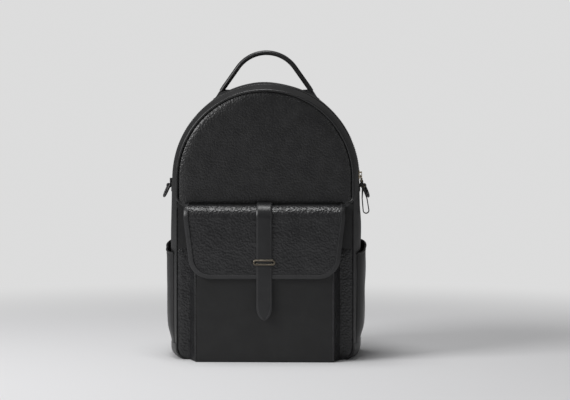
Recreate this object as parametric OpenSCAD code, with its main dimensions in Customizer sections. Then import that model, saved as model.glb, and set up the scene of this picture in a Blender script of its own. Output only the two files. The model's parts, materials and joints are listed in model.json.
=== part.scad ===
// Leather backpack with an arched zip-round top, a flap pocket, side pockets,
// a rolled top handle, side rings and padded shoulder straps.
// +X is the wearer-facing viewer's right, -Y is the front, +Z is up.
// The origin is on the floor, in the middle of the whole width and depth.

/* [Body] */
// Width of the bag at the zipper
body_w = 279; // [272:1:300]
// How far the sides and the top bulge behind the zipper
bulge = 2; // [0:0.5:5]
// Height of the top of the arch at the zipper
body_h = 406; // [390:0.5:430]
// Width of the front face between its piped edges
front_w = 259; // [244:1:264]
// Depth from the front seam to the outside of the back panel
body_d = 132; // [120:1:150]
// Thickness of a leather wall with its backing
wall = 2; // [1.6:0.1:2.4]
// How far the padded upper front panel stands proud
crown = 4.5; // [2:0.5:5]
// Radius of the piping bead round the front panel
piping_r = 2; // [1.5:0.1:2.4]
// Height to which the base leather wraps up the sides
base_wrap = 23; // [20:1:30]
// Radius of the lower side corners
corner_r = 16; // [12:1:18]

/* [Front pocket] */
// Width of the pocket's front
pocket_w = 200; // [180:1:206]
// Width of the pocket where it is sewn to the bag
pocket_root_w = 222; // [212:1:234]
// Depth of the pocket
pocket_d = 32; // [26:1:40]
// Height of the pocket's mouth
pocket_h = 215; // [200:1:220]
// Height of the top of the coarse-grained lower front leather
lower_leather_h = 165; // [145:1:185]

/* [Flap and strap] */
// Height of the flap's rounded top edge
flap_top = 229; // [224:1:236]
// Height of the flap's lower edge
flap_bottom = 122.5; // [112:0.5:134]
// Width of the flap at its top
flap_w = 234; // [226:1:240]
// Width of the flap just above its lower corners
flap_low_w = 220; // [212:1:224]
// Radius of the flap's lower corners
flap_corner_r = 32; // [20:1:40]
// Outer radius of the flap's bend over the pocket
flap_bend_r = 18; // [14:1:20]
// Thickness of the flap
flap_t = 3; // [2.4:0.1:3.4]
// Width of the closing strap
strap_w = 23; // [18:1:28]
// Thickness of the closing strap
strap_t = 3; // [2:0.1:3.4]
// Height of the tip of the strap's tongue
tongue_tip = 62; // [50:1:80]
// Height of the metal keeper's middle
keeper_z = 146.5; // [138:0.5:156]
// Width of the metal keeper
keeper_w = 33; // [31:1:38]

/* [Zipper] */
// Width of zipper tape left bare between the leather edges
zip_gap = 14; // [13:0.5:16]
// Distance from the front seam to the middle of the zipper
zip_set = 48; // [46:1:56]
// Angle between neighbouring teeth of one row
tooth_pitch = 1.6; // [1.4:0.1:2.4]
// Length of the slider along the zipper
slider_l = 13; // [11:0.5:14]
// Length of the leather pull below its ring
pull_l = 58; // [48:1:64]

/* [Handle] */
// Height of the handle above the top of the arch
handle_rise = 51; // [46:1:58]
// Thickness of the handle seen from the front
handle_t = 7.2; // [6:0.1:8]
// Thickness of the handle seen from the side
handle_side_t = 11; // [9:0.5:12]
// Outer radius of the handle's crown
handle_r = 56; // [50:1:60]

/* [Side pockets and rings] */
// How far a side pocket stands out from the side panel
side_pocket_out = 7.2; // [6:0.2:9]
// Height of a side pocket's mouth at the back
side_pocket_h = 170; // [155:1:180]
// How much lower the mouth is at the front
side_pocket_drop = 14; // [8:1:20]
// Radius of a side ring's bow
ring_r = 11; // [10:0.5:12]
// Radius of a side ring's wire
ring_wire_r = 1.7; // [1.3:0.1:1.8]
// Length of a side ring's straight legs
ring_leg = 7; // [3:0.5:9]
// How far a side ring stands out from upright
ring_tilt = 24; // [20:1:40]

/* [Back and shoulder straps] */
// Thickness of the padded back cushions
pad_t = 11; // [8:1:14]
// Width of a shoulder strap's pad
shoulder_w = 58; // [50:1:62]
// Thickness of a shoulder strap's pad
shoulder_t = 10; // [8:0.5:12]
// How far the shoulder straps reach behind the back panel
shoulder_reach = 54; // [50:1:60]
// Width of the strap webbing
webbing_w = 25; // [20:1:30]
// Thickness of the strap webbing
webbing_t = 1.8; // [1.4:0.1:2.2]

/* [Inside] */
// Thickness of the stiffening boards in the base and the back
board_t = 3; // [2:0.5:4]
// Depth of the padded laptop sleeve
sleeve_d = 24; // [18:1:30]
// Height of the laptop sleeve's mouth
sleeve_h = 254; // [225:1:270]

/* [Hidden] */
$fn = 64;

// Fits and clearances
fit = 0.3;          // between parts that lie against each other
keeper_t = 2;       // thickness of the metal keeper
snap_gap = 3.5;     // room between the flap and the pocket for the magnetic snap
panel_t = 2.6;      // thickness of the padded front panels

// Depth: the whole object is centred on the origin
half_w = body_w / 2;
front_half = front_w / 2;
front_reach = pocket_d + snap_gap + flap_t + fit / 2 + strap_t + fit + keeper_t;
y_front = front_reach - (body_d + front_reach + shoulder_reach) / 2;
y_back = y_front + body_d;
zip_y = y_front + zip_set;

// Arch: every band runs round this centre
arch_z = body_h - half_w;
seam_z = arch_z - 8;
flare_d = 40;       // depth over which the front edge widens to the full width
rear_r = 14;        // rounding of the edge beside the back panel
y_round = y_back - 12;
y_bulge = y_front + zip_set + zip_gap / 2;

// Zipper: radii of its layers
tape_t = 0.8;
tape_r = half_w - wall - 0.4;
tooth_w = 2.2;
tooth_t = 2.8;
tooth_gap = 0.55;
tooth_mid_r = tape_r - tape_t / 2;
lid_zip_angle = 5.2;
slider_angle = 2;
slider_plate_t = 1.5;
slider_half_w = 4.7;
bridge_gap = 2.5;

// Flap: its leather in side view
flap_y = y_front - pocket_d - snap_gap - flap_t;
flap_axis_y = y_front - 15;
keeper_h = 8.6;
tongue_top = keeper_z - keeper_h / 2 - 0.4;
band_top = flap_top + 1;

// Handle: a crown arc with straight legs that end in barrel feet
handle_y = zip_y + 37;
handle_mid_r = handle_r - handle_t / 2;
handle_centre_z = body_h + handle_rise - handle_r;
handle_sweep = 55;
handle_end = [handle_mid_r * sin(handle_sweep), handle_centre_z + handle_mid_r * cos(handle_sweep)];
foot_w = 8;         // width of a barrel foot
foot_lift = 1.6;    // keeps the inner end of the foot off the arch
foot_orbit = half_w + bulge + handle_side_t / 2 + foot_lift;
leg_dir = [cos(handle_sweep), -sin(handle_sweep)];
leg_from = handle_end - [0, arch_z];
leg_fall = -leg_from * leg_dir;
handle_leg_l = leg_fall - sqrt(leg_fall * leg_fall - leg_from * leg_from + foot_orbit * foot_orbit);
handle_foot = handle_end + handle_leg_l * leg_dir;
tab_w = 24;

// Side rings
ring_y = zip_y + 20;
ring_z = seam_z - 4;
ring_turn = 10;     // how far a ring's bar is turned to follow the side's bulge
ring_tab_r = 3.3;
ring_tab_w = 14;
ring_tab_t = 3;
ring_tab_x = side_r(ring_y + ring_tab_w / 2) + 0.2;
ring_x = ring_tab_x + ring_tab_r + 0.2 + ring_tab_w / 2 * sin(ring_turn);

// Shoulder straps: centreline of the right one from its yoke down to its buckle, as parts
// of the half width, of the reach behind the back and of the strap's height, with its width
shoulder_top = body_h - 27.5;
shoulder_low = 162;
shoulder_out = shoulder_reach - shoulder_t / 2;
shoulder_table = [
    [0.237, 0.286, 1.000, 0.62], [0.244, 0.490, 1.045, 0.70], [0.258, 0.755, 1.049, 0.80],
    [0.287, 0.918, 1.000, 0.90], [0.323, 0.980, 0.910, 0.97], [0.366, 1.000, 0.794, 1.00],
    [0.416, 1.000, 0.650, 1.00], [0.473, 0.980, 0.516, 1.00], [0.530, 0.939, 0.381, 0.99],
    [0.588, 0.878, 0.247, 0.94], [0.638, 0.796, 0.112, 0.84], [0.674, 0.714, 0.000, 0.68]
];
shoulder_path = [for (p = shoulder_table) [
    p[0] * half_w, y_back + p[1] * shoulder_out, shoulder_low + p[2] * (shoulder_top - shoulder_low)
]];
shoulder_widths = [for (p = shoulder_table) p[3]];
shoulder_end = shoulder_path[len(shoulder_path) - 1];
anchor_point = [0.803 * half_w, y_back + 11, 34];
yoke_z = shoulder_top - 10;
yoke_r = 14;        // half the height of the yoke, and the rounding of its ends
yoke_half = 0.4 * half_w;
yoke_t = 3;
webbing_dir = (anchor_point - shoulder_end) / norm(anchor_point - shoulder_end);
webbing_start = shoulder_end + 17 * webbing_dir;
webbing_len = norm(anchor_point - webbing_start);
tail_len = 78;
tail_lift = webbing_t + 0.7;

// Outer half width of the bag at depth y
function side_r(y) =
    y < y_front + flare_d
        ? front_half + (half_w - front_half) * sin(90 * max(0, y - y_front) / flare_d)
    : y > y_round ? half_w - rear_r + sqrt(rear_r * rear_r - (y - y_round) * (y - y_round))
    : y > y_bulge ? half_w + bulge * sin(180 * (y - y_bulge) / (y_round - y_bulge))
    : half_w;

function steps(a, b, n) = [for (i = [0:n]) a + (b - a) * i / n];

// Cross-section of a leather band between two depths, as [radius, y]
function band(y0, y1, inset = 0, t = wall, n = 7) = concat(
    [for (y = steps(y0, y1, n)) [side_r(y) - inset, y]],
    [for (y = steps(y1, y0, n)) [side_r(y) - inset - t, y]]
);

// Depth of the padded front panel's face at radius r
panel_r = front_half - piping_r - 0.2;
function panel_y(r) = y_front - crown * pow(1 - pow(r / panel_r, 3), 0.6);

function arc(c, r, a0, a1, n) = [for (a = steps(a0, a1, n)) c + r * [cos(a), sin(a)]];

function unit(v) = v / norm(v);

// Turns an outline of [radius, y] round the arch's centre from angle a0 to a1
module turned(outline, a0 = 0, a1 = 180) {
    translate([0, 0, arch_z]) rotate([90, 0, 0]) rotate([0, 0, a0])
        rotate_extrude(angle = a1 - a0) polygon([for (p = outline) [p[0], -p[1]]]);
}

// Carries the same outline straight down both sides
module legs(outline, z0, z1 = arch_z) {
    translate([0, 0, z0]) linear_extrude(z1 - z0) {
        polygon(outline);
        mirror([1, 0]) polygon(outline);
    }
}

// An outline of [x, z] made solid between two depths
module upright(y0, y1) {
    translate([0, y1, 0]) rotate([90, 0, 0]) linear_extrude(y1 - y0) children();
}

// An outline of [y, z] made solid between two widths
module across(x0, x1) {
    translate([x0, 0, 0]) rotate([90, 0, 90]) linear_extrude(x1 - x0) children();
}

// Arch shape standing on its base, with rounded lower corners
module arch_shape(half, z0, r) {
    union() {
        translate([0, arch_z]) intersection() {
            circle(half, $fn = 128);
            translate([-half - 1, 0]) square([2 * half + 2, half + 1]);
        }
        translate([-half, z0 + r]) square([2 * half, arch_z - z0 - r]);
        translate([-half + r, z0]) square([2 * (half - r), r]);
        for (s = [-1, 1]) translate([s * (half - r), z0 + r]) circle(r);
    }
}

// Skins a row of closed rings into one solid
module skin(rings) {
    n = len(rings[0]);
    m = len(rings);
    polyhedron(
        points = [for (ring = rings) each ring],
        faces = concat(
            [[for (i = [n - 1:-1:0]) i]],
            [for (k = [0:m - 2], i = [0:n - 1], half = [0, 1])
                half == 0
                    ? [k * n + i, k * n + (i + 1) % n, (k + 1) * n + i]
                    : [k * n + (i + 1) % n, (k + 1) * n + (i + 1) % n, (k + 1) * n + i]],
            [[for (i = [0:n - 1]) (m - 1) * n + i]]
        )
    );
}

// Rounded flat strap swept along a path, lying across the X direction
function strap_ring(p, dir, w, t) =
    let (side = unit([1, 0, 0] - dir[0] * dir), up = cross(dir, side), e = t * 0.4)
    [for (q = [[w / 2, -t / 4], [w / 2, t / 4], [w / 2 - e, t / 2], [-w / 2 + e, t / 2],
               [-w / 2, t / 4], [-w / 2, -t / 4], [-w / 2 + e, -t / 2], [w / 2 - e, -t / 2]])
        p + q[0] * side + q[1] * up];

module swept(path, widths, thicknesses) {
    last = len(path) - 1;
    function along(i) = unit(path[min(i + 1, last)] - path[max(i - 1, 0)]);
    skin([for (i = [0:last]) strap_ring(path[i], along(i), widths[i], thicknesses[i])]);
}

// Places its children with +Z along the right strap's webbing and +Y away from the back
module on_webbing() {
    side = unit([1, 0, 0] - webbing_dir[0] * webbing_dir);
    out = cross(webbing_dir, side);
    flip = out[1] < 0 ? -1 : 1;
    a = flip * side;
    o = flip * out;
    multmatrix([
        [a[0], o[0], webbing_dir[0], webbing_start[0]],
        [a[1], o[1], webbing_dir[1], webbing_start[1]],
        [a[2], o[2], webbing_dir[2], webbing_start[2]],
        [0, 0, 0, 1]
    ]) children();
}

module left() { mirror([1, 0, 0]) children(); }

// ---- Front panels, piping and gussets ----

function panel_outline() = concat(
    [for (r = steps(0, panel_r, 12)) [r, panel_y(r)]],
    [[panel_r, y_front + panel_t], [0, y_front + panel_t - crown * 0.8]]
);

module panel_wall(z0, z1 = arch_z) {
    half = [for (p = panel_outline()) if (p[0] > 0) p];
    k = len(half) - 1;
    translate([0, 0, z0]) linear_extrude(z1 - z0)
        polygon(concat(half, [[0, y_front + panel_t - crown * 0.8]],
                       [for (i = [k:-1:0]) [-half[i][0], half[i][1]]], [[0, panel_y(0)]]));
}

module front_panel() {
    color([0.07, 0.07, 0.075]) union() {
        turned(panel_outline());
        panel_wall(seam_z + fit);
    }
}

module front_panel_foot() {
    r = 10;
    z1 = seam_z - fit;
    color([0.07, 0.07, 0.075]) intersection() {
        panel_wall(band_top, z1);
        upright(y_front - 2 * crown, y_front + 2 * panel_t) {
            translate([-panel_r - 1, band_top + r]) square([2 * panel_r + 2, z1 - band_top]);
            translate([-panel_r + r, band_top - 1]) square([2 * (panel_r - r), r + 2]);
            for (s = [-1, 1]) translate([s * (panel_r - r), band_top + r]) circle(r);
        }
    }
}

module front_piping() {
    bead = arc([front_half + 0.1, y_front - 0.2], piping_r, 0, 337.5, 15);
    color([0.05, 0.05, 0.05]) union() {
        turned(bead);
        legs(bead, seam_z + fit);
    }
}

module front_piping_foot() {
    bead = arc([front_half + 0.1, y_front - 0.2], piping_r, 0, 337.5, 15);
    color([0.05, 0.05, 0.05]) legs(bead, band_top, seam_z - fit);
}

module front_gusset() {
    outline = band(y_front + piping_r + 0.1, zip_y - zip_gap / 2);
    color([0.11, 0.11, 0.11]) union() {
        turned(outline);
        legs(outline, seam_z + fit);
    }
}

module rear_gusset() {
    outline = band(zip_y + zip_gap / 2, y_back - 3.4, n = 8);
    color([0.11, 0.11, 0.11]) union() {
        turned(outline);
        legs(outline, seam_z + fit);
    }
}

module rear_piping() {
    bead = arc([side_r(y_back) + 0.7, y_back - 1.4], piping_r - 0.1, 0, 337.5, 15);
    color([0.05, 0.05, 0.05]) union() {
        turned(bead);
        legs(bead, base_wrap + 1);
    }
}

module side_panel() {
    color([0.1, 0.1, 0.1]) translate([0, 0, corner_r + 1]) linear_extrude(seam_z - corner_r - 1 - fit)
        polygon(band(y_front + piping_r + 0.1, y_back - 3.4, n = 12));
}

module side_panel_left() { left() side_panel(); }
module side_panel_right() { side_panel(); }

module front_band() {
    color([0.06, 0.06, 0.06])
        translate([-front_half, y_front, lower_leather_h + fit])
            cube([front_w, wall, band_top - lower_leather_h - 2 * fit]);
}

module lower_front_panel() {
    half = front_half;
    color([0.07, 0.07, 0.075]) upright(y_front - 0.4, y_front + wall) union() {
        translate([-half, corner_r]) square([2 * half, lower_leather_h - corner_r]);
        translate([-half + corner_r, 0.4]) square([2 * (half - corner_r), corner_r]);
        for (s = [-1, 1]) translate([s * (half - corner_r), corner_r]) circle(corner_r - 0.4);
    }
}

// The base leather is a tray: flat below, rounded up both sides
function tray_half(w, r, z, top, n = 6) = concat(
    [[w, top]], [for (a = steps(0, -90, n)) [w - r + r * cos(a), z + r + r * sin(a)]]
);
function tray_ring(y, w, t) =
    let (o = tray_half(w, corner_r, 0, base_wrap),
         i = tray_half(w - t, corner_r - t, t, base_wrap), k = len(o) - 1)
    [for (q = concat(o, [for (j = [k:-1:0]) [-o[j][0], o[j][1]]],
                     [for (j = [0:k]) [-i[j][0], i[j][1]]], [for (j = [k:-1:0]) i[j]]))
        [q[0], y, q[1]]];

module base_panel() {
    t = wall - 0.2;
    depths = concat(steps(y_front + wall + fit, y_front + flare_d, 6), steps(y_bulge, y_round, 8),
                    [y_round + 4, y_back - 3.4]);
    rings = [for (y = depths) tray_ring(y, side_r(y) + t + 0.3, t)];
    n = len(rings[0]);
    m = len(rings);
    k = n / 2 - 2;
    color([0.08, 0.08, 0.08]) polyhedron(
        points = [for (ring = rings) each ring],
        faces = concat(
            [for (i = [0:k]) [n - 1 - i, n - 2 - i, i + 1, i]],
            [for (j = [0:m - 2], i = [0:n - 1], half = [0, 1])
                half == 0
                    ? [j * n + i, j * n + (i + 1) % n, (j + 1) * n + i]
                    : [j * n + (i + 1) % n, (j + 1) * n + (i + 1) % n, (j + 1) * n + i]],
            [for (i = [0:k]) [for (q = [i, i + 1, n - 2 - i, n - 1 - i]) (m - 1) * n + q]]
        )
    );
}

module base_board() {
    half = front_half - corner_r;
    color("dimgray") translate([-half, y_front + 8, wall + 0.1])
        cube([2 * half, body_d - 18, board_t]);
}

module back_panel() {
    color([0.08, 0.08, 0.08]) upright(y_back - 3, y_back)
        arch_shape(side_r(y_back) - piping_r, 0.4, corner_r);
}

module back_board() {
    half = side_r(y_back) - 16;
    y1 = y_back - 3.1;
    color("dimgray") upright(y1 - board_t, y1) arch_shape(half, wall + board_t + 1, corner_r);
}

// Two upright foam cushions with a channel between them
module back_pads() {
    w = 88;
    z0 = 52;
    h = 284;
    r = 18;
    y0 = y_back + fit;
    color([0.09, 0.09, 0.09]) for (s = [-1, 1]) {
        translate([s * (w / 2 + 11) - w / 2, 0, 0]) hull() {
            upright(y0, y0 + pad_t * 0.45) for (i = [0, 1], j = [0, 1])
                translate([r + i * (w - 2 * r), z0 + r + j * (h - 2 * r)]) circle(r, $fn = 24);
            upright(y0, y0 + pad_t) for (i = [0, 1], j = [0, 1])
                translate([r + i * (w - 2 * r), z0 + r + j * (h - 2 * r)]) circle(r - 7, $fn = 24);
        }
    }
}

// ---- Zipper ----

module zip_tape(y0, y1, a0, a1, in = 0) {
    r0 = tape_r - tape_t + in;
    r1 = tape_r - in;
    color([0.25, 0.24, 0.2]) turned([[r0, y0], [r1, y0], [r1, y1], [r0, y1]], a0, a1);
}

module zip_tape_front() {
    zip_tape(zip_y - zip_gap / 2 - 5, zip_y - tooth_gap - 0.2, lid_zip_angle, 180 - lid_zip_angle);
}

// The rear tape runs on round both ends, where it also carries the closed end of the front row
module zip_tape_rear() {
    reach = zip_gap / 2 + 5;
    union() {
        zip_tape(zip_y + tooth_gap + 0.2, zip_y + reach, -3, 183);
        for (a = [-2.8, 180.8]) zip_tape(zip_y - reach, zip_y + reach - 1, a, a + 2, 0.1);
    }
}

// Leather patches sewn over both ends of the zipper
module zip_end_patches() {
    w = zip_gap + 3;
    h = 12.8;
    t = 0.8;
    color([0.08, 0.08, 0.08]) for (s = [-1, 1])
        translate([s * (half_w + t / 2 + 0.35) - t / 2, zip_y - w / 2, seam_z + t - h]) cube([t, w, h]);
}

module teeth(y0, a0, a1) {
    h = tooth_pitch * 1.44;
    color([0.72, 0.62, 0.4]) for (a = [a0:tooth_pitch:a1])
        translate([0, 0, arch_z]) rotate([0, -a, 0])
            translate([tooth_mid_r - tooth_t / 2, y0, -h / 2]) cube([tooth_t, tooth_w, h]);
}

module zip_teeth_front() {
    teeth(zip_y - tooth_gap - tooth_w, lid_zip_angle + 0.6, 180 - lid_zip_angle - 0.4);
}
module zip_teeth_rear() { teeth(zip_y + tooth_gap, -0.6, 180.6); }

// Metal stops that bridge both rows at each end of the zipper
module zip_stops() {
    color([0.72, 0.62, 0.4]) for (a = [-1.8, 181.8])
        translate([0, 0, arch_z]) rotate([0, -a, 0])
            translate([tooth_mid_r - 1.2, zip_y - 2.6, -0.6]) cube([2.9, 5.2, 1.2]);
}

// Slider: an outer and an inner plate that follow the arch, joined by a thin post
// that runs between the two rows of teeth, with a bridge for the pull's ring
slider_r = tooth_mid_r + tooth_t / 2 + 0.35;
slider_in_r = tooth_mid_r - tooth_t / 2 - 0.35;
slider_half_a = slider_l / 2 / half_w * 180 / PI;
slider_out_r = slider_r + slider_plate_t;

// Outline of a slider part between two radii and two depths beside the zipper's middle
function slider_band(r0, r1, y0, y1) =
    [for (p = [[r0, y0], [r1, y0], [r1, y1], [r0, y1]]) [p[0], zip_y + p[1]]];

module zip_slider() {
    a0 = slider_angle - slider_half_a;
    a1 = slider_angle + slider_half_a;
    w = slider_half_w;
    t = slider_plate_t;
    bar_w = 2.6;
    bar_l = 6.8;
    post_t = 2.2;
    color([0.75, 0.66, 0.45]) union() {
        turned(slider_band(slider_r, slider_out_r, -w, w), a0, a1);
        turned(slider_band(slider_in_r - t, slider_in_r, -w, w), a0, a1);
        for (y = [-w, w - 1]) turned(slider_band(tape_r + 0.4, slider_r + 0.2, y, y + 1), a0, a1);
        turned(slider_band(slider_in_r - 0.2, slider_r + 0.2, -0.3, 0.3), a1 - 1.2, a1);
        translate([0, zip_y - bar_w / 2, arch_z]) rotate([0, -slider_angle, 0]) {
            for (z = [-bar_l / 2 - post_t / 2, bar_l / 2 - post_t / 2])
                translate([slider_out_r - 0.3, 0, z]) cube([bridge_gap + 1.2, bar_w, post_t]);
            translate([slider_out_r + bridge_gap, 0, -bar_l / 2]) cube([0.9, bar_w, bar_l]);
        }
    }
}

// The pull hangs from the slider's bridge: a wire ring, a leather loop and its rivet
pull_x = slider_out_r + bridge_gap / 2;
pull_z = arch_z + half_w * sin(slider_angle) - 0.9;
pull_slant = 10;
pull_t = 1.5;
pull_wire = 0.75;
pull_w = 6.4;
pull_ring_l = 9;
pull_rivet_z = -16.5;

module at_pull() {
    translate([pull_x, zip_y, pull_z]) rotate([0, -pull_slant, 0]) children();
}

module pull_ring() {
    w = pull_w + 2 * pull_wire + fit;
    l = pull_ring_l;
    color([0.75, 0.66, 0.45]) at_pull() union() {
        for (z = [0, -l]) translate([0, w / 2, z]) rotate([90, 0, 0])
            cylinder(r = pull_wire, h = w, $fn = 24);
        for (s = [-1, 1]) translate([0, s * w / 2, -l]) cylinder(r = pull_wire, h = l, $fn = 24);
        for (s = [-1, 1], z = [0, -l]) translate([0, s * w / 2, z]) sphere(pull_wire, $fn = 24);
    }
}

// Leather strip that passes through the ring, is riveted, and opens into a long loop
module pull_loop() {
    w = pull_w;
    z0 = -pull_ring_l;
    zr = pull_rivet_z - 3.5;
    z1 = -pull_l;
    bow = 5;        // outer radius of the loop's lower end
    h = pull_t;
    outer = concat(
        arc([0, z0], pull_wire + 0.2 + h, 0, 180, 10),
        [[-h - 0.2, pull_rivet_z + 3]], [[-h - 0.2, zr]], [[-4.4, zr - 14]],
        arc([-1, z1 + bow], bow, 180, 360, 12), [[4.2, zr - 16]], [[h + 0.2, zr]],
        [[h + 0.2, pull_rivet_z + 3]]
    );
    inner = concat(
        arc([-1, z1 + bow], bow - h, 360, 180, 12), [[-4.4 + h, zr - 14.5]], [[-0.1, zr - 4]],
        [[0.1, zr - 4]], [[4.2 - h, zr - 16]]
    );
    color([0.06, 0.06, 0.06]) at_pull() upright(-w / 2, w / 2) difference() {
        polygon(outer);
        polygon(inner);
        translate([0, z0]) circle(pull_wire + 0.2);
    }
}

module pull_rivet() {
    reach = pull_t + 0.2;
    color([0.75, 0.66, 0.45]) at_pull() for (s = [-1, 1])
        translate([s * (reach + 0.45), 0, pull_rivet_z]) rotate([0, 90, 0])
            cylinder(r = 2.1, h = 0.8, center = true, $fn = 32);
}

// ---- Front pocket ----

module pocket_front() {
    color([0.09, 0.09, 0.09]) upright(y_front - pocket_d, y_front - pocket_d + wall)
        translate([-pocket_w / 2, 0.4]) square([pocket_w, pocket_h - 0.4]);
}

module pocket_gusset() {
    t = wall - 0.2;
    x0 = pocket_w / 2;
    x1 = pocket_root_w / 2;
    y0 = y_front - pocket_d + wall + 0.1;
    y1 = y_front - 0.6;
    color([0.07, 0.07, 0.075]) translate([0, 0, wall + 0.1]) linear_extrude(pocket_h - wall - 4)
        polygon([[x0, y0], [x1, y1], [x1 - t, y1], [x0 - t, y0]]);
}

module pocket_gusset_left() { left() pocket_gusset(); }
module pocket_gusset_right() { pocket_gusset(); }

module pocket_base() {
    x0 = pocket_w / 2;
    x1 = pocket_root_w / 2;
    y0 = y_front - pocket_d + wall + 0.1;
    y1 = y_front - 0.6;
    color([0.08, 0.08, 0.08]) linear_extrude(wall) polygon([[-x0, y0], [x0, y0], [x1, y1], [-x1, y1]]);
}

// ---- Flap and closing strap ----

// Side view of a layer that follows the flap, from its axis over the bend and down
function flap_layer(off, t, z_end) =
    let (c = [flap_y + flap_bend_r, flap_top - flap_bend_r], ro = flap_bend_r + off, ri = ro - t)
    concat(
        [[flap_axis_y - fit / 2, c[1] + ro]], arc(c, ro, 90, 180, 10),
        [[c[0] - ro, z_end], [c[0] - ri, z_end]],
        arc(c, ri, 180, 90, 10), [[flap_axis_y - fit / 2, c[1] + ri]]
    );

// Front view of the flap: sides that draw in, and round lower corners
function flap_outline() =
    let (r = flap_corner_r, w = flap_low_w / 2, z = flap_bottom + r)
    concat(
        arc([w - r, z], r, 0, -90, 10), arc([-w + r, z], r, -90, -180, 10),
        [[-flap_w / 2, flap_top - flap_bend_r], [-flap_w / 2, flap_top + 9],
         [flap_w / 2, flap_top + 9], [flap_w / 2, flap_top - flap_bend_r]]
    );

module flap_root() {
    color([0.07, 0.07, 0.075]) translate([-flap_w / 2, flap_axis_y + fit / 2, flap_top - flap_t])
        cube([flap_w, y_front - flap_axis_y - 1.5 * fit, flap_t]);
}

module flap() {
    color([0.07, 0.07, 0.075]) intersection() {
        across(-flap_w, flap_w) polygon(flap_layer(0, flap_t, flap_bottom - 1));
        upright(flap_y - 1, flap_axis_y + 1) polygon(flap_outline());
    }
}

strap_off = strap_t + fit / 2;
strap_face = flap_y - strap_off;

module strap_root() {
    y0 = flap_axis_y + fit / 2;
    color([0.1, 0.1, 0.11]) translate([-strap_w / 2, y0, flap_top + fit / 2])
        cube([strap_w, y_front - crown - fit - y0, strap_t]);
}

module strap() {
    color([0.1, 0.1, 0.11]) across(-strap_w / 2, strap_w / 2)
        polygon(flap_layer(strap_off, strap_t, tongue_top + fit));
}

module strap_tongue() {
    h = strap_w / 2;
    r = h * 2.1;
    color([0.1, 0.1, 0.11]) upright(strap_face, strap_face + strap_t) polygon(concat(
        [[-h, tongue_top], [h, tongue_top]],
        arc([h - r, tongue_tip + r * sin(acos((r - h) / r))], r, 0, -acos((r - h) / r), 8),
        arc([r - h, tongue_tip + r * sin(acos((r - h) / r))], r, 180 + acos((r - h) / r), 180, 8)
    ));
}

module stadium(w, h) {
    union() {
        square([w - h, h], center = true);
        for (s = [-1, 1]) translate([s * (w - h) / 2, 0]) circle(h / 2);
    }
}

module strap_keeper() {
    rim = 2.2;
    y1 = strap_face - fit;
    color([0.35, 0.32, 0.27]) translate([0, 0, keeper_z]) union() {
        upright(y1 - keeper_t, y1) difference() {
            stadium(keeper_w, keeper_h);
            stadium(keeper_w - 2 * rim, keeper_h - 2 * rim);
        }
        for (s = [-1, 1]) upright(y1 - keeper_t / 2, flap_y - 0.05)
            translate([s * (keeper_w / 2 - 1.9), 0]) circle(1.2);
    }
}

snap_r = 8;
snap_z = keeper_z - 4;

module snap_stud() {
    y1 = flap_y + flap_t;
    color("silver") translate([0, y1 + 1.6, snap_z]) rotate([90, 0, 0]) cylinder(r = snap_r, h = 1.55);
}

module snap_socket() {
    y0 = y_front - pocket_d;
    color("silver") translate([0, y0 - 0.05, snap_z]) rotate([90, 0, 0]) difference() {
        cylinder(r = snap_r, h = 1.45);
        translate([0, 0, 0.8]) cylinder(r = snap_r / 2, h = 1);
    }
}

// ---- Handle ----

function handle_section() =
    [for (a = [0:22.5:337.5]) [handle_t / 2 * cos(a), handle_side_t / 2 * sin(a)]];

module handle_leg() {
    translate([handle_end[0], handle_y, handle_end[1]]) rotate([0, 90 + handle_sweep, 0])
        translate([0, 0, -0.02]) linear_extrude(handle_leg_l) polygon(handle_section());
    translate([handle_foot[0] - foot_w / 2, handle_y, handle_foot[1]]) rotate([0, 90, 0])
        cylinder(r = handle_side_t / 2, h = foot_w);
}

module handle() {
    color([0.06, 0.06, 0.06]) union() {
        translate([0, handle_y, handle_centre_z]) rotate([90, 0, 0]) rotate([0, 0, 90 - handle_sweep])
            rotate_extrude(angle = 2 * handle_sweep)
                translate([handle_mid_r, 0]) polygon(handle_section());
        handle_leg();
        left() handle_leg();
    }
}

// Leather tab that follows the arch and cradles the handle's foot
module handle_tab() {
    saddle_r = handle_side_t / 2 + fit;
    x = handle_foot[0];
    z = handle_foot[1];
    color([0.06, 0.06, 0.06]) difference() {
        upright(handle_y - tab_w / 2, handle_y + tab_w / 2) difference() {
            translate([x, z]) polygon([[-7, -12], [-7, -1.5], [6, -1.5], [17, -12.6], [12, -20]]);
            translate([0, arch_z]) circle(half_w + bulge + 0.1, $fn = 128);
        }
        translate([x - 12, handle_y, z]) rotate([0, 90, 0]) cylinder(r = saddle_r, h = 30);
    }
}

module handle_tab_left() { left() handle_tab(); }
module handle_tab_right() { handle_tab(); }

// ---- Side pockets and rings ----

// A side pocket is a shallow tray stood against the side panel, open at the top
module side_pocket() {
    y0 = y_front + 14;
    y1 = y_back - 14;
    t = wall - 0.2;
    z0 = base_wrap + 1;
    n = 12;
    function face(y, out, inset) = let (u = (y - y0 - inset) / (y1 - y0 - 2 * inset))
        [side_r(y) + fit + out * pow(max(0, sin(180 * u)), 0.35), y];
    outer = [for (y = steps(y0, y1, n)) face(y, side_pocket_out, 0)];
    inner = [for (y = steps(y1 - t, y0 + t, n)) face(y, side_pocket_out - t, t)];
    foot = [for (y = steps(y1, y0, n)) [side_r(y) + fit, y]];
    color([0.12, 0.12, 0.12]) difference() {
        translate([0, 0, z0]) union() {
            linear_extrude(side_pocket_h - z0) polygon(concat(outer, inner));
            linear_extrude(t) polygon(concat(outer, foot));
        }
        translate([half_w - 40, y0 - 1, side_pocket_h - side_pocket_drop])
            rotate([asin(side_pocket_drop / (y1 - y0)), 0, 0])
                cube([80, 1.4 * (y1 - y0), 60]);
    }
}

module side_pocket_left() { left() side_pocket(); }
module side_pocket_right() { side_pocket(); }

module at_ring() {
    translate([ring_x, ring_y, ring_z]) rotate([0, 0, -ring_turn]) children();
}

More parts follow.
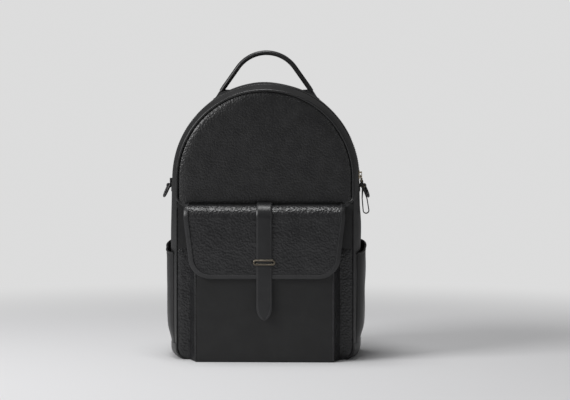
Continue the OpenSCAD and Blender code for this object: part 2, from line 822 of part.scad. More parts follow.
// Leather tab over the end of the zipper, with a sewn tunnel for the ring's bar
module ring_tab() {
    color([0.08, 0.08, 0.08]) difference() {
        union() {
            translate([ring_tab_x, ring_y - ring_tab_w / 2, ring_z - 2])
                cube([ring_tab_t, ring_tab_w, 13]);
            at_ring() translate([0, ring_tab_w / 2, 0]) rotate([90, 0, 0])
                cylinder(r = ring_tab_r, h = ring_tab_w);
        }
        at_ring() translate([0, ring_tab_w, 0]) rotate([90, 0, 0])
            cylinder(r = ring_wire_r + fit, h = 2 * ring_tab_w);
    }
}

module ring_tab_left() { left() ring_tab(); }
module ring_tab_right() { ring_tab(); }

module side_ring() {
    color([0.04, 0.04, 0.04]) at_ring() rotate([0, -ring_tilt, 0]) union() {
        translate([0, ring_r, 0]) rotate([90, 0, 0])
            cylinder(r = ring_wire_r, h = 2 * ring_r, $fn = 32);
        translate([0, 0, -ring_leg]) rotate([0, 90, 0]) rotate([0, 0, -90])
            rotate_extrude(angle = 180) translate([ring_r, 0]) circle(ring_wire_r, $fn = 32);
        for (s = [-1, 1]) translate([0, s * ring_r, 0]) {
            sphere(ring_wire_r, $fn = 32);
            translate([0, 0, -ring_leg]) cylinder(r = ring_wire_r, h = ring_leg, $fn = 32);
        }
    }
}

module side_ring_left() { left() side_ring(); }
module side_ring_right() { side_ring(); }

// ---- Shoulder straps ----

// Yoke sewn to the back, with the block that each strap's upper end is stitched into
module strap_yoke() {
    block_w = 32;
    block_h = 9.6;
    block_top = shoulder_top - 4.4;
    color([0.06, 0.06, 0.06]) union() {
        upright(y_back + fit, y_back + fit + yoke_t) union() {
            translate([-yoke_half, yoke_z - yoke_r]) square([2 * yoke_half, 2 * yoke_r]);
            for (s = [-1, 1]) translate([s * yoke_half, yoke_z]) circle(yoke_r);
        }
        for (s = [-1, 1])
            translate([s * shoulder_path[0][0] - block_w / 2, y_back + yoke_t, block_top - block_h])
                cube([block_w, 13, block_h]);
    }
}

// Pad and, below it, the thin leather loop that holds the buckle
module shoulder_strap() {
    loop = [for (d = [0.5, 13.2]) shoulder_end + d * webbing_dir];
    pad_n = len(shoulder_path);
    color([0.07, 0.07, 0.075]) swept(
        concat(shoulder_path, loop),
        concat(shoulder_w * shoulder_widths, [webbing_w, webbing_w]),
        concat([for (i = [1:pad_n]) shoulder_t], [3, 3])
    );
}

module shoulder_strap_left() { left() shoulder_strap(); }
module shoulder_strap_right() { shoulder_strap(); }

// Buckle: a metal frame with a middle bar, held by a short leather loop at the pad's end
module strap_buckle() {
    w = webbing_w + 8;
    color([0.35, 0.32, 0.27]) on_webbing() translate([0, 0.4, -2]) {
        for (z = [0, 8, 16]) translate([-w / 2, z == 8 ? 1.9 : -1.9, z]) rotate([0, 90, 0])
            cylinder(r = 1.3, h = w, $fn = 24);
        for (s = [-1, 1]) translate([s * (w / 2 - 1.2) - 1.2, -3.2, -1.3]) cube([2.4, 6.4, 18.6]);
    }
}

module strap_buckle_left() { left() strap_buckle(); }
module strap_buckle_right() { strap_buckle(); }

// Webbing: the run to the lower anchor, and the free tail that lies on it
module webbing() {
    color([0.05, 0.05, 0.05]) on_webbing() {
        translate([-webbing_w / 2, 0, 9]) cube([webbing_w, webbing_t, webbing_len - 9]);
        translate([-webbing_w / 2, tail_lift, 19]) cube([webbing_w, webbing_t, tail_len]);
    }
}

module webbing_left() { left() webbing(); }
module webbing_right() { webbing(); }

// Sliding keeper: a flat band round the webbing and its tail
module tail_keeper() {
    w = webbing_w + 2 * fit + 3;
    d = tail_lift + webbing_t + 2 * fit;
    color([0.06, 0.06, 0.06]) on_webbing() translate([0, d / 2 - fit, 40]) difference() {
        translate([-w / 2, -d / 2 - 1.4, 0]) cube([w, d + 2.8, 12]);
        translate([-w / 2 + 1.5, -d / 2, -1]) cube([w - 3, d, 14]);
    }
}

module tail_keeper_left() { left() tail_keeper(); }
module tail_keeper_right() { tail_keeper(); }

// Triangular leather tab that holds the webbing's lower end
module lower_anchor() {
    color([0.06, 0.06, 0.06]) translate([anchor_point[0], 0, anchor_point[2]]) union() {
        upright(y_back + fit, y_back + 5)
            polygon([[-26, -14], [16, -14], [16, 4], [11, 14], [-13, 14]]);
        translate([-13, y_back + 4, -12]) cube([26, 9, 9.6]);
    }
}

module lower_anchor_left() { left() lower_anchor(); }
module lower_anchor_right() { lower_anchor(); }

// ---- Inside ----

// Padded sleeve against the back: a front wall with a floor and two sides, open at the top
module laptop_sleeve() {
    half = 118;
    y1 = y_back - 3.1 - board_t - fit;
    y0 = y1 - sleeve_d;
    z0 = wall + board_t + 2;
    t = 4;
    color([0.3, 0.3, 0.32]) union() {
        translate([-half, y0, z0]) cube([2 * half, t, sleeve_h - z0]);
        translate([-half, y0, z0]) cube([2 * half, sleeve_d, t]);
        for (x = [-half, half - t]) translate([x, y0, z0]) cube([t, sleeve_d, sleeve_h - z0]);
    }
}

front_panel();
front_panel_foot();
front_piping();
front_piping_foot();
front_gusset();
rear_gusset();
rear_piping();
side_panel_left();
side_panel_right();
front_band();
lower_front_panel();
base_panel();
base_board();
back_panel();
back_board();
back_pads();
zip_tape_front();
zip_tape_rear();
zip_teeth_front();
zip_teeth_rear();
zip_stops();
zip_end_patches();
zip_slider();
pull_ring();
pull_loop();
pull_rivet();
pocket_front();
pocket_gusset_left();
pocket_gusset_right();
pocket_base();
flap_root();
flap();
strap_root();
strap();
strap_tongue();
strap_keeper();
snap_stud();
snap_socket();
handle();
handle_tab_left();
handle_tab_right();
side_pocket_left();
side_pocket_right();
ring_tab_left();
ring_tab_right();
side_ring_left();
side_ring_right();
strap_yoke();
shoulder_strap_left();
shoulder_strap_right();
strap_buckle_left();
strap_buckle_right();
webbing_left();
webbing_right();
tail_keeper_left();
tail_keeper_right();
lower_anchor_left();
lower_anchor_right();
laptop_sleeve();
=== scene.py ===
"""Looks of the leather backpack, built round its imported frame. Lengths here are in millimetres."""

import json
from math import acos, copysign, cos, exp, hypot, pi, radians, sin, sqrt

import bmesh
import bpy
import numpy as np
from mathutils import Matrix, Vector, noise
from mathutils.kdtree import KDTree

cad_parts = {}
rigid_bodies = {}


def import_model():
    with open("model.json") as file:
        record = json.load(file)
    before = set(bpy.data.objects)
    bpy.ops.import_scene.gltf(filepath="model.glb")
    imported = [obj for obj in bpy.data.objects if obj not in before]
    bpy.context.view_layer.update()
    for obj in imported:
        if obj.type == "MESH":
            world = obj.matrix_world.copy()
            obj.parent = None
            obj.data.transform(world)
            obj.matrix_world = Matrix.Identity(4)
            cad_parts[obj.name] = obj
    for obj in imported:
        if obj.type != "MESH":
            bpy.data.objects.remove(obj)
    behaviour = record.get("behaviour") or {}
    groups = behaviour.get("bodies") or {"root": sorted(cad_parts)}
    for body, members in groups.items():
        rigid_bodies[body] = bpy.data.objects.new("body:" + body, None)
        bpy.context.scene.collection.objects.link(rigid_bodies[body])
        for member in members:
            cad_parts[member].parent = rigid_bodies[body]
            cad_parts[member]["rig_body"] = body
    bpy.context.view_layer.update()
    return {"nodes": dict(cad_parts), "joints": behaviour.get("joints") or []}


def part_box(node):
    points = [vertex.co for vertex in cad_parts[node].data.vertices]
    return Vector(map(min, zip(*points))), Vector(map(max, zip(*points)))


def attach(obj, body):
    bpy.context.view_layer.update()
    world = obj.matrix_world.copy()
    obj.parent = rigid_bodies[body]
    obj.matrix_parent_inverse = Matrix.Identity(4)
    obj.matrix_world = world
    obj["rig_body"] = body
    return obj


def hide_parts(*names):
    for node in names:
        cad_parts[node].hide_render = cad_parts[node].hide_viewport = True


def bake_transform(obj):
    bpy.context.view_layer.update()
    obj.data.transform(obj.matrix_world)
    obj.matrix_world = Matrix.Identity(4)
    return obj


MM = 0.001
SIDES = ((-1, "left"), (1, "right"))
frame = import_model()
joints = {j["name"]: j for j in frame["joints"]}


def low(node):
    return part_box(node)[0] / MM


def high(node):
    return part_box(node)[1] / MM


def joint_point(name):
    return Vector(joints[name]["pos_m"]) / MM


# ---- sizes, read from the frame ----

ZIP_Y = joint_point("zip_travel").y
ARCH_Z = joint_point("zip_travel").z
SEAM_Z = joint_point("lid_fold").z
Y_FRONT = low("front_band").y
Y_BACK = high("back_panel").y
FRONT_HALF = high("lower_front_panel").x
ZIP_HALF = high("front_gusset").x
BULGE = high("rear_gusset").x - ZIP_HALF
ZIP_HALF_GAP = low("rear_gusset").y - ZIP_Y
WALL = 2.0
FLARE = 40.0
REAR_R = 14.0
CORNER_R = 16.0
CROWN = Y_FRONT - low("front_panel").y
PANEL_R = high("front_panel").x
BAND_TOP = low("front_panel_foot").z
BASE_WRAP = high("base_panel").z
LOWER_TOP = high("lower_front_panel").z
POCKET_Y = low("pocket_front").y
POCKET_HALF = high("pocket_front").x
POCKET_ROOT = high("pocket_gusset_right").x
POCKET_TOP = high("pocket_front").z
FLAP_TOP = high("flap").z
FLAP_BOTTOM = low("flap").z
FLAP_Y = low("flap").y
FLAP_HALF = high("flap").x
FLAP_LOW_HALF = 110.0
FLAP_T = 3.0
FLAP_BEND_R = 18.0
FLAP_CORNER_R = 32.0
STRAP_HALF = high("strap").x
STRAP_T = 3.0
STRAP_OFF = FLAP_Y - low("strap").y
TONGUE_TOP = high("strap_tongue").z
TONGUE_TIP = low("strap_tongue").z
KEEPER_LO, KEEPER_HI = low("strap_keeper"), high("strap_keeper")
HANDLE_R = 56.0
STRAP_LOW = 162.0


def side_r(y):
    """Half width of the bag at depth y, the same form as the frame's bands."""
    if y < Y_FRONT + FLARE:
        t = max(0.0, y - Y_FRONT) / FLARE
        return FRONT_HALF + (ZIP_HALF - FRONT_HALF) * sin(t * pi / 2)
    y_round = Y_BACK - 12.0
    y_bulge = ZIP_Y + ZIP_HALF_GAP
    if y > y_round:
        return ZIP_HALF - REAR_R + sqrt(REAR_R ** 2 - (y - y_round) ** 2)
    if y > y_bulge:
        return ZIP_HALF + BULGE * sin(pi * (y - y_bulge) / (y_round - y_bulge))
    return ZIP_HALF


def smooth(t):
    t = min(1.0, max(0.0, t))
    return t * t * (3 - 2 * t)


def quarter(n):
    """Angles of a quarter turn in n steps, without its start."""
    return [pi / 2 * k / n for k in range(1, n + 1)]


def spread(y, z):
    """How far filled sides sag outwards below the arch."""
    return 1.6 * smooth((ARCH_Z - z) / 90.0) * smooth((z - 10.0) / 60.0) * smooth((y - Y_FRONT) / 30.0)


def wobble(p, size, amount, seed=0.0):
    """Slow unevenness of soft leather at point p."""
    q = Vector(p) / size + Vector((seed, seed * 1.7, -seed))
    return amount * noise.noise(q)


# ---- materials ----


def new_material(name, colour, roughness, **sockets):
    m = bpy.data.materials.new(name)
    m.use_nodes = True
    b = m.node_tree.nodes["Principled BSDF"]
    b.inputs["Base Color"].default_value = (*colour, 1)
    b.inputs["Roughness"].default_value = roughness
    for key, value in sockets.items():
        b.inputs[key.replace("_", " ")].default_value = value
    return m


def add_node(m, kind, **values):
    n = m.node_tree.nodes.new(kind)
    for key, value in values.items():
        if hasattr(n, key):
            setattr(n, key, value)
        else:
            n.inputs[key.replace("_", " ")].default_value = value
    return n


def bump(m, height_socket, strength, distance):
    """Feeds a height into the shader's normal, after any bump that is already there."""
    b = m.node_tree.nodes["Principled BSDF"]
    n = add_node(m, "ShaderNodeBump", Strength=strength, Distance=distance)
    link = m.node_tree.links.new
    if b.inputs["Normal"].is_linked:
        link(b.inputs["Normal"].links[0].from_socket, n.inputs["Normal"])
    link(height_socket, n.inputs["Height"])
    link(n.outputs["Normal"], b.inputs["Normal"])


def object_coords(m, scale=(1, 1, 1)):
    tc = add_node(m, "ShaderNodeTexCoord")
    mp = add_node(m, "ShaderNodeMapping", Scale=scale)
    m.node_tree.links.new(tc.outputs["Object"], mp.inputs["Vector"])
    return mp.outputs["Vector"]


def tint(m, coords, dark, light, scale, detail=3.0):
    """Uneven colour between two tones."""
    link = m.node_tree.links.new
    nz = add_node(m, "ShaderNodeTexNoise", Scale=scale, Detail=detail)
    ramp = add_node(m, "ShaderNodeValToRGB")
    ramp.color_ramp.elements[0].position = 0.35
    ramp.color_ramp.elements[1].position = 0.7
    ramp.color_ramp.elements[0].color = (*dark, 1)
    ramp.color_ramp.elements[1].color = (*light, 1)
    link(coords, nz.inputs["Vector"])
    link(nz.outputs["Fac"], ramp.inputs["Fac"])
    link(ramp.outputs["Color"], m.node_tree.nodes["Principled BSDF"].inputs["Base Color"])


def leather(name, dark, light, roughness, grain_mm, grain, crease, coat=0.0):
    """Black leather: a net of small pebbles, finer pores and slow creases."""
    m = new_material(name, light, roughness, Specular_IOR_Level=0.5, Coat_Weight=coat, Coat_Roughness=0.35)
    link = m.node_tree.links.new
    co = object_coords(m)
    tint(m, co, dark, light, 55.0)
    warp = add_node(m, "ShaderNodeTexNoise", Scale=260.0, Detail=2.0)
    link(co, warp.inputs["Vector"])
    mix = add_node(m, "ShaderNodeVectorMath", operation="MULTIPLY_ADD")
    mix.inputs[1].default_value = (0.0016, 0.0016, 0.0016)
    link(warp.outputs["Color"], mix.inputs[0])
    link(co, mix.inputs[2])
    cells = add_node(m, "ShaderNodeTexVoronoi", feature="SMOOTH_F1", Smoothness=0.35, Scale=1000 / grain_mm)
    link(mix.outputs["Vector"], cells.inputs["Vector"])
    turn = add_node(m, "ShaderNodeMath", operation="SUBTRACT")
    turn.inputs[0].default_value = 1.0
    link(cells.outputs["Distance"], turn.inputs[1])
    bump(m, turn.outputs["Value"], grain, 0.00024 * grain_mm)
    slow = add_node(m, "ShaderNodeTexNoise", Scale=70.0, Detail=4.0, Roughness=0.55)
    link(co, slow.inputs["Vector"])
    bump(m, slow.outputs["Fac"], crease, 0.0015)
    return m


def woven(name, dark, light, roughness, pitch_mm, strength):
    """Plain weave from two crossed sets of ribs, in three directions so that it suits any face."""
    m = new_material(name, light, roughness, Specular_IOR_Level=0.25)
    link = m.node_tree.links.new
    co = object_coords(m)
    tint(m, co, dark, light, 40.0)
    total = None
    for axis in ("X", "Y", "Z"):
        w = add_node(m, "ShaderNodeTexWave", bands_direction=axis, Scale=pi * 100.0 / pitch_mm / 1.57)
        link(co, w.inputs["Vector"])
        if total is None:
            total = w.outputs["Fac"]
        else:
            s = add_node(m, "ShaderNodeMath", operation="ADD")
            link(total, s.inputs[0])
            link(w.outputs["Fac"], s.inputs[1])
            total = s.outputs["Value"]
    bump(m, total, strength, 0.0003)
    return m


PEBBLED = leather("pebbled_leather", (0.010, 0.010, 0.011), (0.018, 0.018, 0.019), 0.34, 3.2, 0.85, 0.12)
SMOOTH = leather("smooth_leather", (0.008, 0.008, 0.0084), (0.013, 0.013, 0.0135), 0.4, 1.0, 0.15, 0.18)
PANEL = leather("panel_leather", (0.010, 0.010, 0.0105), (0.017, 0.017, 0.0175), 0.36, 2.8, 0.7, 0.12)
STRAP = leather("strap_leather", (0.011, 0.011, 0.012), (0.016, 0.016, 0.017), 0.36, 0.9, 0.16, 0.2)
POCKET = leather("pocket_leather", (0.005, 0.005, 0.0052), (0.008, 0.008, 0.0083), 0.5, 0.9, 0.16, 0.15)
EDGE = new_material("edge_paint", (0.016, 0.016, 0.017), 0.35)
THREAD = new_material("thread", (0.05, 0.05, 0.052), 0.6)
LINING = woven("lining", (0.035, 0.035, 0.038), (0.05, 0.05, 0.054), 0.8, 0.8, 0.3)
TAPE = woven("zip_tape", (0.055, 0.053, 0.049), (0.075, 0.072, 0.066), 0.75, 0.8, 0.4)
WEBBING = woven("webbing", (0.012, 0.012, 0.013), (0.02, 0.02, 0.021), 0.7, 1.4, 0.6)
MESH = woven("pad_mesh", (0.010, 0.010, 0.011), (0.02, 0.02, 0.021), 0.85, 1.8, 0.8)
BRASS = new_material("antique_brass", (0.42, 0.34, 0.21), 0.32, Metallic=1.0)
GUN = new_material("dark_brass", (0.16, 0.14, 0.11), 0.3, Metallic=1.0)
BLACK_METAL = new_material("black_metal", (0.012, 0.012, 0.013), 0.3)
STEEL = new_material("snap_steel", (0.5, 0.5, 0.5), 0.3, Metallic=1.0)

# ---- mesh helpers ----


def make_object(name, verts, faces, materials, face_materials=None, angle=45.0):
    me = bpy.data.meshes.new(name)
    me.from_pydata([tuple(c * MM for c in v) for v in verts], [], faces)
    me.validate()
    bm = bmesh.new()
    bm.from_mesh(me)
    bmesh.ops.remove_doubles(bm, verts=bm.verts, dist=1e-6)
    bmesh.ops.recalc_face_normals(bm, faces=bm.faces)
    bm.to_mesh(me)
    bm.free()
    for m in materials:
        me.materials.append(m)
    if face_materials is not None and len(face_materials) == len(me.polygons):
        me.polygons.foreach_set("material_index", face_materials)
    me.shade_smooth()
    me.set_sharp_from_angle(angle=radians(angle))
    o = bpy.data.objects.new(name, me)
    bpy.context.scene.collection.objects.link(o)
    return o


def grid_normals(grid):
    """Unit normals of a grid of points, from its own rows and columns."""
    p = np.array(grid, float)
    du = np.gradient(p, axis=0)
    dv = np.gradient(p, axis=1)
    n = np.cross(du, dv)
    length = np.linalg.norm(n, axis=2, keepdims=True)
    length[length < 1e-9] = 1.0
    return n / length


def slab(name, grid, thickness, materials, toward=None, closed=False, angle=45.0):
    """A sheet of the given thickness behind a grid of outer points. toward is a point on its inner side."""
    outer = np.array(grid, float)
    if closed:
        wrapped = np.concatenate([outer[-1:], outer, outer[:1]])
        normals = grid_normals(wrapped)[1:-1]
    else:
        normals = grid_normals(outer)
    if toward is not None:
        side = np.sum((np.array(toward) - outer) * normals, axis=2)
        if np.median(side) > 0:
            normals = -normals
    inner = outer - normals * thickness
    rows, cols = outer.shape[:2]
    verts = list(map(tuple, outer.reshape(-1, 3))) + list(map(tuple, inner.reshape(-1, 3)))
    half = rows * cols
    faces, mats = [], []

    def at(i, j, layer):
        return layer * half + (i % rows) * cols + j

    last = rows if closed else rows - 1
    for i in range(last):
        for j in range(cols - 1):
            faces.append((at(i, j, 0), at(i + 1, j, 0), at(i + 1, j + 1, 0), at(i, j + 1, 0)))
            mats.append(0)
            faces.append((at(i, j + 1, 1), at(i + 1, j + 1, 1), at(i + 1, j, 1), at(i, j, 1)))
            mats.append(1)
        for j in (0, cols - 1):
            quad = (at(i, j, 0), at(i, j, 1), at(i + 1, j, 1), at(i + 1, j, 0))
            faces.append(quad if j == 0 else quad[::-1])
            mats.append(0)
    if not closed:
        for i in (0, rows - 1):
            for j in range(cols - 1):
                quad = (at(i, j, 0), at(i, j + 1, 0), at(i, j + 1, 1), at(i, j, 1))
                faces.append(quad if i == 0 else quad[::-1])
                mats.append(0)
    return make_object(name, verts, faces, materials, mats, angle)


def frames_along(path, closed=False):
    """Tangent and two cross directions at each point of a path, without twist."""
    p = [Vector(q) for q in path]
    n = len(p)
    out = []
    up = None
    for i in range(n):
        a = p[(i - 1) % n] if closed or i > 0 else p[i]
        b = p[(i + 1) % n] if closed or i < n - 1 else p[i]
        t = (b - a).normalized()
        if up is None:
            up = Vector((0, 1, 0)) if abs(t.y) < 0.9 else Vector((1, 0, 0))
        up = (up - t * up.dot(t)).normalized()
        out.append((p[i], t, up, t.cross(up)))
    return out


def sweep(name, path, section, material, closed=False, scale=None, angle=50.0):
    """Sweeps a closed section, points (along up, along side), down a path."""
    rings = frames_along(path, closed)
    verts = []
    for i, (p, _, up, side) in enumerate(rings):
        k = 1.0 if scale is None else scale(i / max(1, len(rings) - 1))
        verts += [p + up * (a * k) + side * (b * k) for a, b in section]
    m = len(section)
    n = len(rings)
    faces = []
    for i in range(n if closed else n - 1):
        for j in range(m):
            a, b = i * m + j, i * m + (j + 1) % m
            c, d = ((i + 1) % n) * m + (j + 1) % m, ((i + 1) % n) * m + j
            faces.append((a, b, c, d))
    if not closed:
        faces.append(tuple(range(m))[::-1])
        faces.append(tuple((n - 1) * m + j for j in range(m)))
    return make_object(name, verts, faces, [material], None, angle)


def circle(r, n=12, flat=1.0):
    return [(flat * r * cos(2 * pi * i / n), r * sin(2 * pi * i / n)) for i in range(n)]


def tube(name, path, r, material, closed=False, n=12, flat=1.0, scale=None):
    return sweep(name, path, circle(r, n, flat), material, closed, scale)


def resample(path, pitch):
    """Points along a path at an even pitch."""
    p = [Vector(q) for q in path]
    total = sum((b - a).length for a, b in zip(p, p[1:]))
    count = max(1, round(total / pitch))
    step = total / count
    out, walked, i = [], 0.0, 0
    for k in range(count + 1):
        target = min(total, k * step)
        while i < len(p) - 2 and walked + (p[i + 1] - p[i]).length < target:
            walked += (p[i + 1] - p[i]).length
            i += 1
        seg = (p[i + 1] - p[i])
        t = 0 if seg.length < 1e-9 else (target - walked) / seg.length
        out.append(p[i] + seg * min(1.0, max(0.0, t)))
    return out


def stitches(name, paths, normal, pitch=3.4, length=2.3, r=0.3, lift=0.05):
    """A row of short thread stitches lying on a surface. normal(p) is the surface's outward direction."""
    verts, faces = [], []
    for path in paths:
        pts = resample(path, pitch)
        for a, b in zip(pts, pts[1:]):
            along = b - a
            if along.length < 1e-6:
                continue
            t = along.normalized()
            c = (a + b) / 2
            n = Vector(normal(c)).normalized()
            n = (n - t * n.dot(t)).normalized()
            s = t.cross(n)
            base = len(verts)
            for end, h in ((-0.5, 0.0), (-0.3, 1.0), (0.3, 1.0), (0.5, 0.0)):
                k = 0.35 if h == 0 else 1.0
                for q in range(6):
                    ang = pi * q / 5
                    across, above = r * k * cos(ang), lift + r * k * sin(ang)
                    verts.append(c + t * (end * length) + s * across + n * above)
            for e in range(3):
                for q in range(6):
                    i, j = base + e * 6 + q, base + e * 6 + (q + 1) % 6
                    faces.append((i, j, j + 6, i + 6))
            faces.append(tuple(base + q for q in range(6)))
            faces.append(tuple(base + 18 + q for q in range(6))[::-1])
    return make_object(name, verts, faces, [THREAD], None, 60)


def shell_piece(o, slot, *nodes, body="shell"):
    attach(o, body)
    if nodes:
        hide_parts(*nodes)
    return o


def sewn(o, *nodes):
    """A piece on the body of the bag."""
    return shell_piece(o, "smooth_leather", *nodes)


def blended(o, slot, a, b, start, end, *nodes):
    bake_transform(o)
    if nodes:
        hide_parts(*nodes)
    return o


def softened(node, material, bevel=0.5, segments=2, name=None):
    """A copy of a CAD node with rounded edges, that stands for it on the same body."""
    src = frame["nodes"][node]
    me = src.data.copy()
    me.name = name or node + "_look"
    bm = bmesh.new()
    bm.from_mesh(me)
    bmesh.ops.remove_doubles(bm, verts=bm.verts, dist=2e-6)
    bmesh.ops.dissolve_limit(bm, angle_limit=radians(1.0), verts=bm.verts, edges=bm.edges)
    bm.to_mesh(me)
    bm.free()
    me.materials.clear()
    me.materials.append(material)
    o = bpy.data.objects.new(name or node + "_look", me)
    bpy.context.scene.collection.objects.link(o)
    if bevel:
        mod = o.modifiers.new("bevel", "BEVEL")
        mod.width = bevel * MM
        mod.segments = segments
        mod.limit_method = "ANGLE"
        mod.angle_limit = radians(35)
        mod.use_clamp_overlap = True
        bpy.context.view_layer.update()
        done = bpy.data.meshes.new_from_object(o.evaluated_get(bpy.context.evaluated_depsgraph_get()))
        o.modifiers.clear()
        o.data = done
    o.data.shade_smooth()
    o.data.set_sharp_from_angle(angle=radians(45))
    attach(o, src["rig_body"])
    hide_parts(node)
    return o


def painted(node, material):
    """A CAD node shown as it is, with its material."""
    o = frame["nodes"][node]
    o.data.materials.clear()
    o.data.materials.append(material)
    o.data.shade_smooth()
    o.data.set_sharp_from_angle(angle=radians(40))
    return o


def puffed(o, fixed, voxel=5.0, cap=3.0, pressure=4.0):
    """Blows a closed cushion up as cloth. Points for which fixed(point) is true stay where they are."""
    scene = bpy.context.scene

    def applied():
        graph = bpy.context.evaluated_depsgraph_get()
        mesh = bpy.data.meshes.new_from_object(o.evaluated_get(graph))
        o.modifiers.clear()
        o.data = mesh

    remesh = o.modifiers.new("remesh", "REMESH")
    remesh.mode = "VOXEL"
    remesh.voxel_size = voxel * MM
    applied()
    start = [v.co.copy() for v in o.data.vertices]
    pins = o.vertex_groups.new(name="pins")
    pins.add([i for i, p in enumerate(start) if fixed(p / MM)], 1.0, "REPLACE")
    cloth = o.modifiers.new("cloth", "CLOTH")
    cloth.settings.quality = 5
    cloth.settings.use_pressure = True
    cloth.settings.uniform_pressure_force = pressure
    cloth.settings.effector_weights.gravity = 0
    cloth.settings.vertex_group_mass = "pins"
    cloth.collision_settings.use_collision = False
    for frame_number in range(1, 21):
        scene.frame_set(frame_number)
    applied()
    for v, p in zip(o.data.vertices, start):
        move = v.co - p
        if move.length > cap * MM:
            v.co = p + move * (cap * MM / move.length)
    o.vertex_groups.clear()
    scene.frame_set(1)
    finer = o.modifiers.new("finer", "SUBSURF")
    finer.levels = finer.render_levels = 1
    applied()
    o.data.shade_smooth()


# ---- arch paths ----


def stations(z0, legs=26, arc=72):
    """Stations round the arch from its left foot to its right one, as (x, z, outward x, outward z)."""
    out = [(0.0, z0 + (ARCH_Z - z0) * i / legs, -1.0, 0.0) for i in range(legs)]
    for i in range(arc + 1):
        a = pi * (1 - i / arc)
        out.append((0.0, ARCH_Z, cos(a), sin(a)))
    out += [(0.0, ARCH_Z - (ARCH_Z - z0) * (i + 1) / legs, 1.0, 0.0) for i in range(legs)]
    return out


def around(y, inset, z0, legs=26, arc=72):
    """A path at one depth, an inset inside the bag's outline."""
    path = []
    for x, z, nx, nz in stations(z0, legs, arc):
        r = side_r(y) + (spread(y, z) if nz < 1e-6 else 0.0) - inset
        path.append(Vector((x + nx * r, y, z + nz * r)))
    return path


def rear_ease(y, z, nz):
    """Soft rear gusset: drawn in beside the ends of the zipper, a little proud at the top."""
    depth = smooth((y - ZIP_Y - ZIP_HALF_GAP) / 9.0)
    if nz > 0:
        return depth * (1.3 * nz ** 3 - 2.8 * (1 - nz ** 2) ** 2)
    return -2.8 * depth * smooth(1 - (ARCH_Z - z) / 75.0)


def front_dip(y, z, _):
    """The front gusset sinks to the zipper tape, so that the teeth stand proud."""
    return -2.2 * smooth((y - ZIP_Y + ZIP_HALF_GAP + 15.0) / 15.0) * smooth((z - SEAM_Z) / 12.0)


def skin_grid(y0, y1, z0, columns, seed, soft=0.5, legs=26, ease=rear_ease):
    grid = []
    for x, z, nx, nz in stations(z0, legs):
        row = []
        for j in range(columns + 1):
            y = y0 + (y1 - y0) * j / columns
            edge = smooth(min(j, columns - j) / (columns * 0.25))
            r = side_r(y) + (spread(y, z) if nz < 1e-6 else 0.0)
            p = (x + nx * r, y, z + nz * r)
            r += edge * wobble(p, 45.0, soft, seed) + ease(y, p[2], nz)
            row.append((x + nx * r, y, z + nz * r))
        grid.append(row)
    return grid


CENTRE = (0.0, 0.0, 200.0)
FOLD = ((0, Y_FRONT, SEAM_Z - 5), (0, Y_FRONT, SEAM_Z + 7))


def on_lid(o, slot, *nodes):
    """A piece across the place where the front folds, baked in place; it does not bend."""
    return blended(o, slot, "shell", "lid", *FOLD, *nodes)


def body_skins():
    o = slab("front_gusset_skin", skin_grid(Y_FRONT + 1.2, ZIP_Y - ZIP_HALF_GAP, BASE_WRAP - 4, 14, 3.1,
                                             ease=front_dip), WALL, [SMOOTH, LINING], CENTRE)
    on_lid(o, "smooth_leather", "front_gusset")
    o = slab("rear_gusset_skin", skin_grid(ZIP_Y + ZIP_HALF_GAP, Y_BACK - 3.2, BASE_WRAP - 4, 20, 5.3, 0.9),
             WALL, [SMOOTH, LINING], CENTRE)
    sewn(o, "rear_gusset", "side_panel_left", "side_panel_right")
    for s, side in SIDES:
        y0, y1 = ZIP_Y - ZIP_HALF_GAP - 0.5, ZIP_Y + ZIP_HALF_GAP + 0.5
        grid = []
        for i in range(21):
            z = BASE_WRAP - 4 + (SEAM_Z - 3 - BASE_WRAP + 4) * i / 20
            grid.append([(s * (side_r(y) + spread(y, z) - 0.15), y, z)
                         for y in (y0 + (y1 - y0) * j / 4 for j in range(5))])
        o = slab("side_strip_" + side, grid, WALL - 0.3, [SMOOTH, LINING], CENTRE)
        sewn(o)


def panel_depth(x, z):
    """Front of the padded upper panel."""
    rho = hypot(x, max(0.0, z - ARCH_Z)) / PANEL_R
    rho = min(1.0, rho)
    roll = sqrt(1 - max(0.0, (rho - 0.87) / 0.13) ** 2)
    return Y_FRONT + 0.9 - (CROWN + 0.7) * roll * (0.78 + 0.22 * (1 - rho ** 2))


def upper_panel():
    z0 = BAND_TOP - 4
    rim = PANEL_R + 1.4
    grid = []
    n, m = 64, 48
    for i in range(n + 1):
        x = rim * sin(pi / 2 * (2 * i / n - 1))
        top = ARCH_Z + sqrt(max(0.0, rim ** 2 - x * x))
        row = []
        for j in range(m + 1):
            z = z0 + (top - z0) * j / m
            y = panel_depth(x, z) + wobble((x, 0, z), 55.0, 0.7, 2.0) * (1 - (abs(x) / rim) ** 4)
            tuck = 2.5 * (1 - smooth((z - z0) / 7.0))
            row.append((x, y + tuck, z))
        grid.append(row)
    o = slab("upper_front_panel", grid, 2.4, [PANEL, LINING], (0, 0, 330), angle=60)
    on_lid(o, "grained_leather", "front_panel", "front_panel_foot")
    # the bead between panel and gusset, that turns in at its lower ends
    r = FRONT_HALF + 0.1
    foot = BAND_TOP + 2
    bend = 8
    path = []
    for x, z, nx, nz in stations(foot + bend, 10, 96):
        path.append(Vector((x + nx * r, Y_FRONT - 0.2, z + nz * r)))
    turn = [(r - bend + bend * cos(a), foot + bend - bend * sin(a)) for a in quarter(6)]
    path = [Vector((-x, Y_FRONT - 0.2, z)) for x, z in turn[::-1]] + path
    path += [Vector((x, Y_FRONT - 0.2, z)) for x, z in turn]
    o = tube("front_piping_bead", path, 2.0, SMOOTH)
    on_lid(o, "piping", "front_piping", "front_piping_foot")


